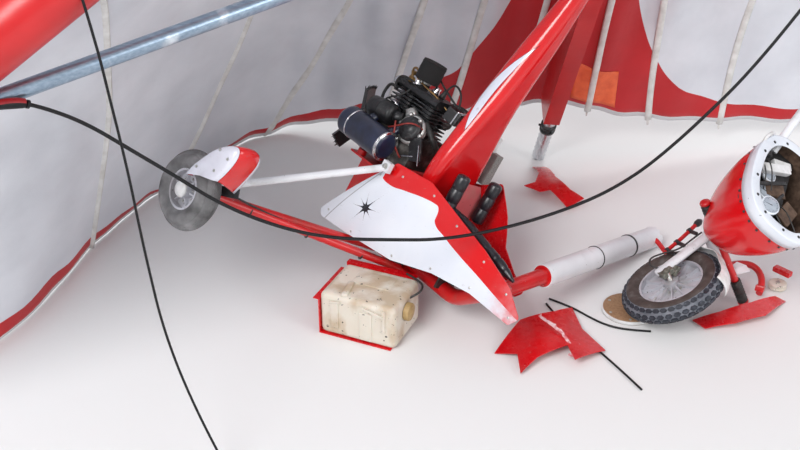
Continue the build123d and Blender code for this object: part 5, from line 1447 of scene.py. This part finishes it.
def oval_leg(build, place, start, end, wide, thick, taper=1.0):
    """An oval tube along a line in a unit's own frame, its broad way across the line and local y."""
    first, last = local(place, *start), local(place, *end)
    way = (last - first).normalized()
    thin_way = (local(place, 0, 1000, 0) - local(place, 0, 0, 0)).normalized()
    broad_way = way.cross(thin_way).normalized()
    rows = []
    for share, size in ((0, 0.55), (0.012, 0.86), (0.035, 1.0), (0.965, taper), (0.99, taper * 0.86),
                        (1, taper * 0.55)):
        middle = first.lerp(last, share)
        rows.append(round_row(build, middle, broad_way * wide * size / 2000,
                              thin_way * thick * size / 2000, 28))
    skin(build, rows)


for side in (-1, 1):
    oval_leg(fork, fork_place, (26, side * 65, -34), (-262, side * 65, -40), 44, 26, 1.08)
slab(fork, fork_place, (-244, 0, -36), (36, 164, 46), (0, 0, 0), 0.010)
turned(fork, fork_place, ((-262, 0, -10), (-448, 0, -4),
                          ((0, 0.031), (0.05, 0.026), (0.92, 0.025), (0.96, 0.022), (1, 0.018)), 36))
legs = piece("front_fork_legs", fork, white_coat, "root")
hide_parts("front_fork")
alloy = bmesh.new()
for side in (-1, 1):
    slab(alloy, fork_place, (-2, side * 64, -14), (54, 22, 46), (0, 0, 0), 0.004)
    turned(alloy, fork_place, ((0, side * 74, 0), (0, side * 86, 0),
                               ((0, 0.016), (0.5, 0.016), (0.6, 0.011), (1, 0.010)), 6))
slab(alloy, fork_place, (-34, -52, -4), (40, 14, 34), (0, 0, 24), 0.003)
clamp_alloy = grained("dull_cast_alloy", (60, 7), ((0.3, (0.10, 0.10, 0.075)), (0.7, (0.30, 0.30, 0.26))),
                      (0.0008,), Metallic=0.5, Roughness=0.45)
piece("axle_clamps", alloy, clamp_alloy, "root", smooth=False)
turned_axle = bmesh.new()
turned(turned_axle, fork_place, ((0, -74, 0), (0, 74, 0), ((0, 0.0099), (1, 0.0099)), 24))
piece("front_axle", turned_axle, zinc, "root")
guard = bmesh.new()
rows = []
for k in range(37):
    a = math.radians(118 + 92 * k / 36)
    lift = 0.004 * math.sin(9 * a)
    row = []
    for j in range(13):
        s = 2 * j / 12 - 1
        reach = 0.2135 + lift - 0.016 * s * s
        row.append(guard.verts.new(fork_place @ Vector((reach * math.cos(a), 0.046 * s,
                                                        reach * math.sin(a)))))
    rows.append(row)
skin(guard, rows, closed=False, ended=False)
face_out(guard)
mudguard = piece("front_mudguard", guard, moulded, "root")
thicken(mudguard, 0.003, 0)
hose("fork_push_rod",
     ((-84, -66, -118), (-120, -66, -122), (-170, -66, -126), (-246, -66, -140), (-262, -66, -144)),
     0.008, red_coat, place=fork_place)
clips = bmesh.new()
for x, z in ((-96, -119), (-150, -125), (-226, -137)):
    slab(clips, fork_place, (x, -66, z + 26), (12, 12, 44), (0, 0, 0), 0.002)
    turned(clips, fork_place, ((x - 7, -66, z), (x + 7, -66, z), ((0, 0.011), (1, 0.011)), 16))
turned(clips, fork_place,
       ((-262, -66, -144), (-300, -60, -156), ((0, 0.009), (0.3, 0.014), (0.7, 0.014), (1, 0.008)), 20))
piece("push_rod_clips", clips, black_plastic, "root", smooth=False)
hose("front_brake_cable", ((-10, -62, -50), (20, -78, -76), (-6, -92, -112), (-60, -84, -98),
                           (-120, -74, -66), (-180, -80, -62), (-236, -74, -70)), 0.0035, black_rubber,
     place=fork_place)
dress(black_rubber, "foot_pegs")
peg_caps = bmesh.new()
peg_ends = bmesh.new()
foot_bar_place = fork_place @ Matrix.Translation(Vector((-0.236, -0.007, 0.0353)))
for side in (-1, 1):
    turned(peg_caps, foot_bar_place, ((0, side * 236, 0), (0, side * 250, 0),
                                      ((0, 0.0206), (0.5, 0.0210), (0.85, 0.018), (1, 0.010)), 28))
    for k in range(7):
        y = side * (142 + 14 * k)
        turned(peg_ends, foot_bar_place, ((0, y - 2.5, 0), (0, y + 2.5, 0),
                                          ((0, 0.0199), (0.25, 0.0212), (0.75, 0.0212), (1, 0.0199)), 32))
piece("foot_peg_ribs", peg_ends, black_rubber, "root")
for corner in peg_caps.verts:
    corner.co.z = max(corner.co.z, EDGE_ABOVE_FLOOR)
piece("foot_peg_caps", peg_caps, red_coat, "root")

# Pieces on the ground round the nose: a bent red steering arch, its pink end fitting, a cream
# pulley and a torn white gusset that joined the fork to the pod.
hose("red_steering_arch", ((1226, -560, 30), (1250, -512, 60), (1306, -470, 78), (1360, -452, 84),
                           (1416, -456, 80), (1446, -490, 62), (1440, -546, 36), (1420, -580, 22)),
     0.0135, red_coat)
arch_lugs = bmesh.new()
world_place = Matrix.Translation(at(0, 0, 0))
slab(arch_lugs, world_place, (1240, -536, 48), (44, 30, 22), (0, -30, 40), 0.004)
slab(arch_lugs, world_place, (1428, -560, 34), (34, 34, 24), (0, 20, 60), 0.004)
piece("steering_arch_lugs", arch_lugs, red_coat, "root", smooth=False)
fitting = bmesh.new()
slab(fitting, world_place, (1540, -470, 56), (30, 76, 22), (0, 0, 40), 0.006)
piece("pink_end_fitting", fitting, shell_red, "root", smooth=False)
pulley = bmesh.new()
turned(pulley, world_place, ((1516, -506, 3), (1516, -506, 27),
                             ((0, 0.030), (0.12, 0.036), (0.3, 0.036), (0.42, 0.028), (0.58, 0.028),
                              (0.7, 0.036), (0.88, 0.036), (1, 0.030)), 44))
piece("cream_pulley", pulley, cream, "root")
pulley_bolt = bmesh.new()
bolt(pulley_bolt, at(1516, -506, 27), Vector((0, 0, 1)), 0.006, 0.007)
piece("pulley_bolt", pulley_bolt, zinc, "root", smooth=False)
gusset = bmesh.new()
GUSSET = ((1262, -566, 150), (1284, -556, 156), (1300, -570, 150), (1318, -560, 158), (1352, -574, 150),
          (1362, -596, 138), (1322, -604, 132), (1286, -612, 132), (1262, -600, 140))
skin(gusset, [[gusset.verts.new(at(x, y, z - drop)) for x, y, z in GUSSET] for drop in (3, 0)])
face_out(gusset)
piece("torn_white_gusset", gusset, white_coat, "root", smooth=False)

# Round board under the front tyre: a turned disc of brown board with a white band bent round its
# edge and a few screws.
board_brown, tree, shader = material("brown_board")
fibre = noise_of(tree, 120, 7)
broad = noise_of(tree, 14, 4)
tone = mixed(tree, broad, (0.30, 0.165, 0.085), (0.42, 0.25, 0.14))
tree.links.new(mixed(tree, ramp_of(tree, fibre, ((0.45, (0, 0, 0)), (0.75, (0.6, 0.6, 0.6)))), tone,
                     (0.16, 0.085, 0.045)), shader.inputs["Base Color"])
set_on(shader, Roughness=0.75)
bumped(tree, shader, fibre, 0.0008)
dress(board_brown, "loose_disc")
rim = bmesh.new()
turned(rim, world_place,
       ((892, -664, 0.6), (892, -664, 13), ((0, 0.1046), (0.03, 0.1058), (0.9, 0.1060), (1, 0.1040)), 72))
piece("board_edge_band", rim, moulded, "root")
top_board = bmesh.new()
turned(top_board, world_place,
       ((892, -664, 12.6), (892, -664, 13.6), ((0, 0.1002), (0.7, 0.1002), (1, 0.0994)), 72))
piece("board_face", top_board, board_brown, "root")
board_screws = bmesh.new()
for k in range(6):
    a = 2 * math.pi * (k + 0.4) / 6
    bolt(board_screws, at(892 + 84 * math.cos(a), -664 + 84 * math.sin(a), 13.4), Vector((0, 0, 1)),
         0.004, 0.003)
piece("board_screws", board_screws, zinc, "root", smooth=False)

# Torn edges: the pale laminate shows in ragged strips along the broken edges of the shell pieces.
# The strips vary in width, and each keeps to the edge that it broke from.
pale_tear = grained("torn_pale_laminate", (70, 8),
                    ((0.35, (0.62, 0.12, 0.14)), (0.6, (0.82, 0.62, 0.64))), (0.002,), Roughness=0.6)
random.seed(23)
tear = bmesh.new()


def torn_strip(build, points, wide):
    """A ragged strip that follows a broken edge, resting on the ground or on the sheet under it."""
    rows = []
    for k in range(len(points) - 1):
        first, last = Vector(points[k]), Vector(points[k + 1])
        steps = max(2, int((last - first).length / 9))
        for j in range(steps):
            here = first.lerp(last, j / steps)
            way = (last - first).normalized()
            cross = Vector((-way.y, way.x, 0)).normalized()
            reach = wide * random.uniform(0.45, 1.1)
            rows.append((at(*(here + cross * random.uniform(-2, 2))),
                         at(*(here + cross * reach + Vector((0, 0, random.uniform(-1, 4)))))))
    low = [(build.verts.new(a), build.verts.new(b)) for a, b in rows]
    for (a, b), (c, d) in zip(low, low[1:]):
        build.faces.new((a, b, d, c))


FRAGMENT_TEARS = (((520, -800, 66), (556, -845, 62), (598, -895, 52), (616, -940, 40), (628, -1000, 22)),
                  ((628, -1000, 24), (650, -960, 34), (676, -940, 36)),
                  ((700, 430, 40), (712, 380, 46), (724, 345, 44), (752, 280, 34), (778, 226, 26),
                   (826, 168, 12)))
for points in FRAGMENT_TEARS:
    torn_strip(tear, points, 18)
face_out(tear)
torn = piece("torn_laminate_edges", tear, pale_tear, "root", smooth=False)
thicken(torn, 0.0015, -1)

# Slack rigging and control cables: plastic-covered steel rope. Each lies or hangs on one smooth
# line from the fitting that still holds it.
cable_black = grained("black_plastic_cover", (160, 5),
                      ((0.3, (0.003, 0.003, 0.004)), (0.8, (0.012, 0.012, 0.014))), (0.0004,),
                      Roughness=0.45, Specular_IOR_Level=0.3)
LONG_ROUTE = ((-1169, -1498, 1220), (-1082, -1455, 1236), (-1010, -1398, 1192), (-910, -1340, 1115),
              (-800, -1295, 1005), (-685, -1250, 893), (-580, -1210, 785), (-455, -1160, 687),
              (-315, -1110, 608), (-175, -1055, 554), (-25, -995, 516), (125, -940, 483),
              (275, -880, 472), (430, -820, 478), (580, -760, 496), (730, -705, 532), (870, -650, 593),
              (995, -600, 680), (1115, -555, 783), (1230, -510, 890), (1335, -465, 1006),
              (1430, -430, 1130), (1500, -395, 1215), (1560, -340, 1250), (1590, -282, 1214))
HANGING_ROUTE = ((-835, -1452, 1524), (-807, -1477, 1400), (-791, -1485, 1264), (-774, -1493, 1127),
                 (-760, -1500, 993), (-750, -1505, 852), (-736, -1511, 703), (-719, -1519, 552),
                 (-689, -1535, 415), (-651, -1555, 292), (-612, -1574, 186), (-574, -1595, 98),
                 (-538, -1625, 34), (-505, -1675, 5), (-478, -1750, 4), (-462, -1830, 4))
FRONT_ROUTE = ((575, -625, 4), (606, -715, 4), (650, -800, 4), (702, -872, 4), (744, -955, 4),
               (795, -1050, 4), (850, -1165, 4))
SIDE_ROUTE = ((590, -590, 4), (666, -643, 4), (724, -710, 4), (782, -768, 4), (855, -802, 4), (950, -812, 4))


def route_length(route):
    """The length of the smooth line that follows a cable's route, and the spots along it."""
    curve = bpy.data.curves.new("measure", "CURVE")
    curve.dimensions = "3D"
    curve.resolution_u = 24
    spline = curve.splines.new("NURBS")
    spline.points.add(len(route) - 1)
    for target, spot in zip(spline.points, route):
        target.co = (*at(*spot), 1)
    spline.order_u = 3
    spline.use_endpoint_u = True
    holder = bpy.data.objects.new("measure", curve)
    line = bpy.data.meshes.new_from_object(holder)
    spots = [v.co.copy() for v in line.vertices]
    bpy.data.objects.remove(holder)
    bpy.data.curves.remove(curve)
    return sum((b - a).length for a, b in zip(spots, spots[1:])), spots


long_length, long_line = route_length(LONG_ROUTE)
sleeve_red = grained("dark_red_sleeve", (60, 5),
                     ((0.3, (0.20, 0.006, 0.010)), (0.7, (0.34, 0.012, 0.016))), (0.0006,), Roughness=0.4)


def along(spots, distance):
    for a, b in zip(spots, spots[1:]):
        step = (b - a).length
        if distance <= step:
            return a.lerp(b, distance / step), (b - a).normalized()
        distance -= step
    return spots[-1], (spots[-1] - spots[-2]).normalized()


def sleeve_piece(name, first, last, outline, finish):
    """A turned sleeve that follows the long cable between two distances from its start."""
    build = bmesh.new()
    rows = []
    for share, radius in outline:
        middle, way = along(long_line, first + (last - first) * share)
        side_way = way.cross(Vector((0, 0, 1))).normalized()
        up_way = side_way.cross(way)
        rows.append(round_row(build, middle, side_way * radius, up_way * radius, 28))
    skin(build, rows)
    face_out(build)
    return piece(name, build, finish, "root")


grip = sleeve_piece("cable_grip", 0.002, 0.150, ((0, 0.0075), (0.02, 0.0125), (0.08, 0.0142),
                                                 (0.5, 0.0145), (0.94, 0.0142), (0.98, 0.012),
                                                 (1, 0.0072)), cable_black)
grip_end = sleeve_piece("cable_grip_collar", 0.150, 0.160,
                        ((0, 0.0072), (0.1, 0.0125), (0.85, 0.0125), (1, 0.0070)), cable_black)
red_band = bmesh.new()
rows = []
for k in range(31):
    middle, way = along(long_line, 0.006 + 0.138 * k / 30)
    side_way = way.cross(Vector((0, 0, 1))).normalized()
    up_way = side_way.cross(way)
    rows.append([red_band.verts.new(middle + side_way * math.cos(a) * 0.0152 + up_way * math.sin(a) * 0.0152)
                 for a in (math.radians(20 + 100 * j / 10) for j in range(11))])
skin(red_band, rows, closed=False, ended=False)
face_out(red_band)
strip = piece("cable_grip_red_band", red_band, sleeve_red, "root")
hook = sleeve_piece("cable_end_eye", long_length - 0.062, long_length,
                    ((0, 0.0064), (0.1, 0.0088), (0.8, 0.0088), (1, 0.0062)), zinc)
for name, route, node, diameter, far_end, lay, on_it in (
        ("long_cable", LONG_ROUTE, "cable_long", 0.012, "object", "hanging", [grip, grip_end, strip, hook]),
        ("hanging_cable", HANGING_ROUTE, "cable_hanging", 0.008, "bare", "hanging", []),
        ("control_cable_to_front", FRONT_ROUTE, "control_cable_front", 0.008, "bare", "loose", []),
        ("control_cable_to_side", SIDE_ROUTE, "control_cable_side", 0.008, "bare", "loose", [])):
    made = hose(name, route, diameter / 2, cable_black)
    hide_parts(node)
    route_length(route)[0]

# Floor, backdrop, soft light and the camera at the photograph's angle. The floor is pale and dull,
# and three wide lamps give the even light of an overcast day.
floor_mesh = bpy.data.meshes.new("studio_floor")
floor_mesh.from_pydata([(-30, -30, -0.001), (30, -30, -0.001), (30, 30, -0.001), (-30, 30, -0.001)], [],
                       [(0, 1, 2, 3)])
floor = bpy.data.objects.new("studio_floor", floor_mesh)
bpy.context.scene.collection.objects.link(floor)
floor_grey, tree, shader = material("studio_floor")
set_on(shader, Base_Color=(0.80, 0.80, 0.80, 1), Roughness=0.9, Specular_IOR_Level=0.1)
floor_mesh.materials.append(floor_grey)
world = bpy.data.worlds.new("studio")
world.use_nodes = True
world.node_tree.nodes["Background"].inputs["Color"].default_value = (0.95, 0.97, 1.0, 1)
world.node_tree.nodes["Background"].inputs["Strength"].default_value = 0.62
bpy.context.scene.world = world


def soft_lamp(name, place, target, size, watts):
    lamp = bpy.data.lights.new(name, "AREA")
    lamp.shape = "DISK"
    lamp.size = size
    lamp.energy = watts
    holder = bpy.data.objects.new(name, lamp)
    holder.location = place
    holder.rotation_euler = (Vector(target) - Vector(place)).to_track_quat("-Z", "Y").to_euler()
    bpy.context.scene.collection.objects.link(holder)


soft_lamp("key_light", (-5.0, -7.0, 7.5), (0, 0, 0.8), 5.0, 760)
soft_lamp("fill_light", (6.5, -6.0, 4.0), (0, 0, 0.8), 5.0, 260)
soft_lamp("back_light", (2.0, 8.0, 6.5), (0, 0, 1.0), 4.0, 320)
camera_lens = bpy.data.cameras.new("photograph_camera")
camera_lens.sensor_width = 36
camera_lens.lens = 51.03
camera_lens.clip_end = 200
camera = bpy.data.objects.new("photograph_camera", camera_lens)
camera.location = at(0, -4330, 2500)
camera.rotation_euler = (math.radians(60), 0, 0)
bpy.context.scene.collection.objects.link(camera)
bpy.context.scene.camera = camera
bpy.context.scene.view_settings.view_transform = "Standard"
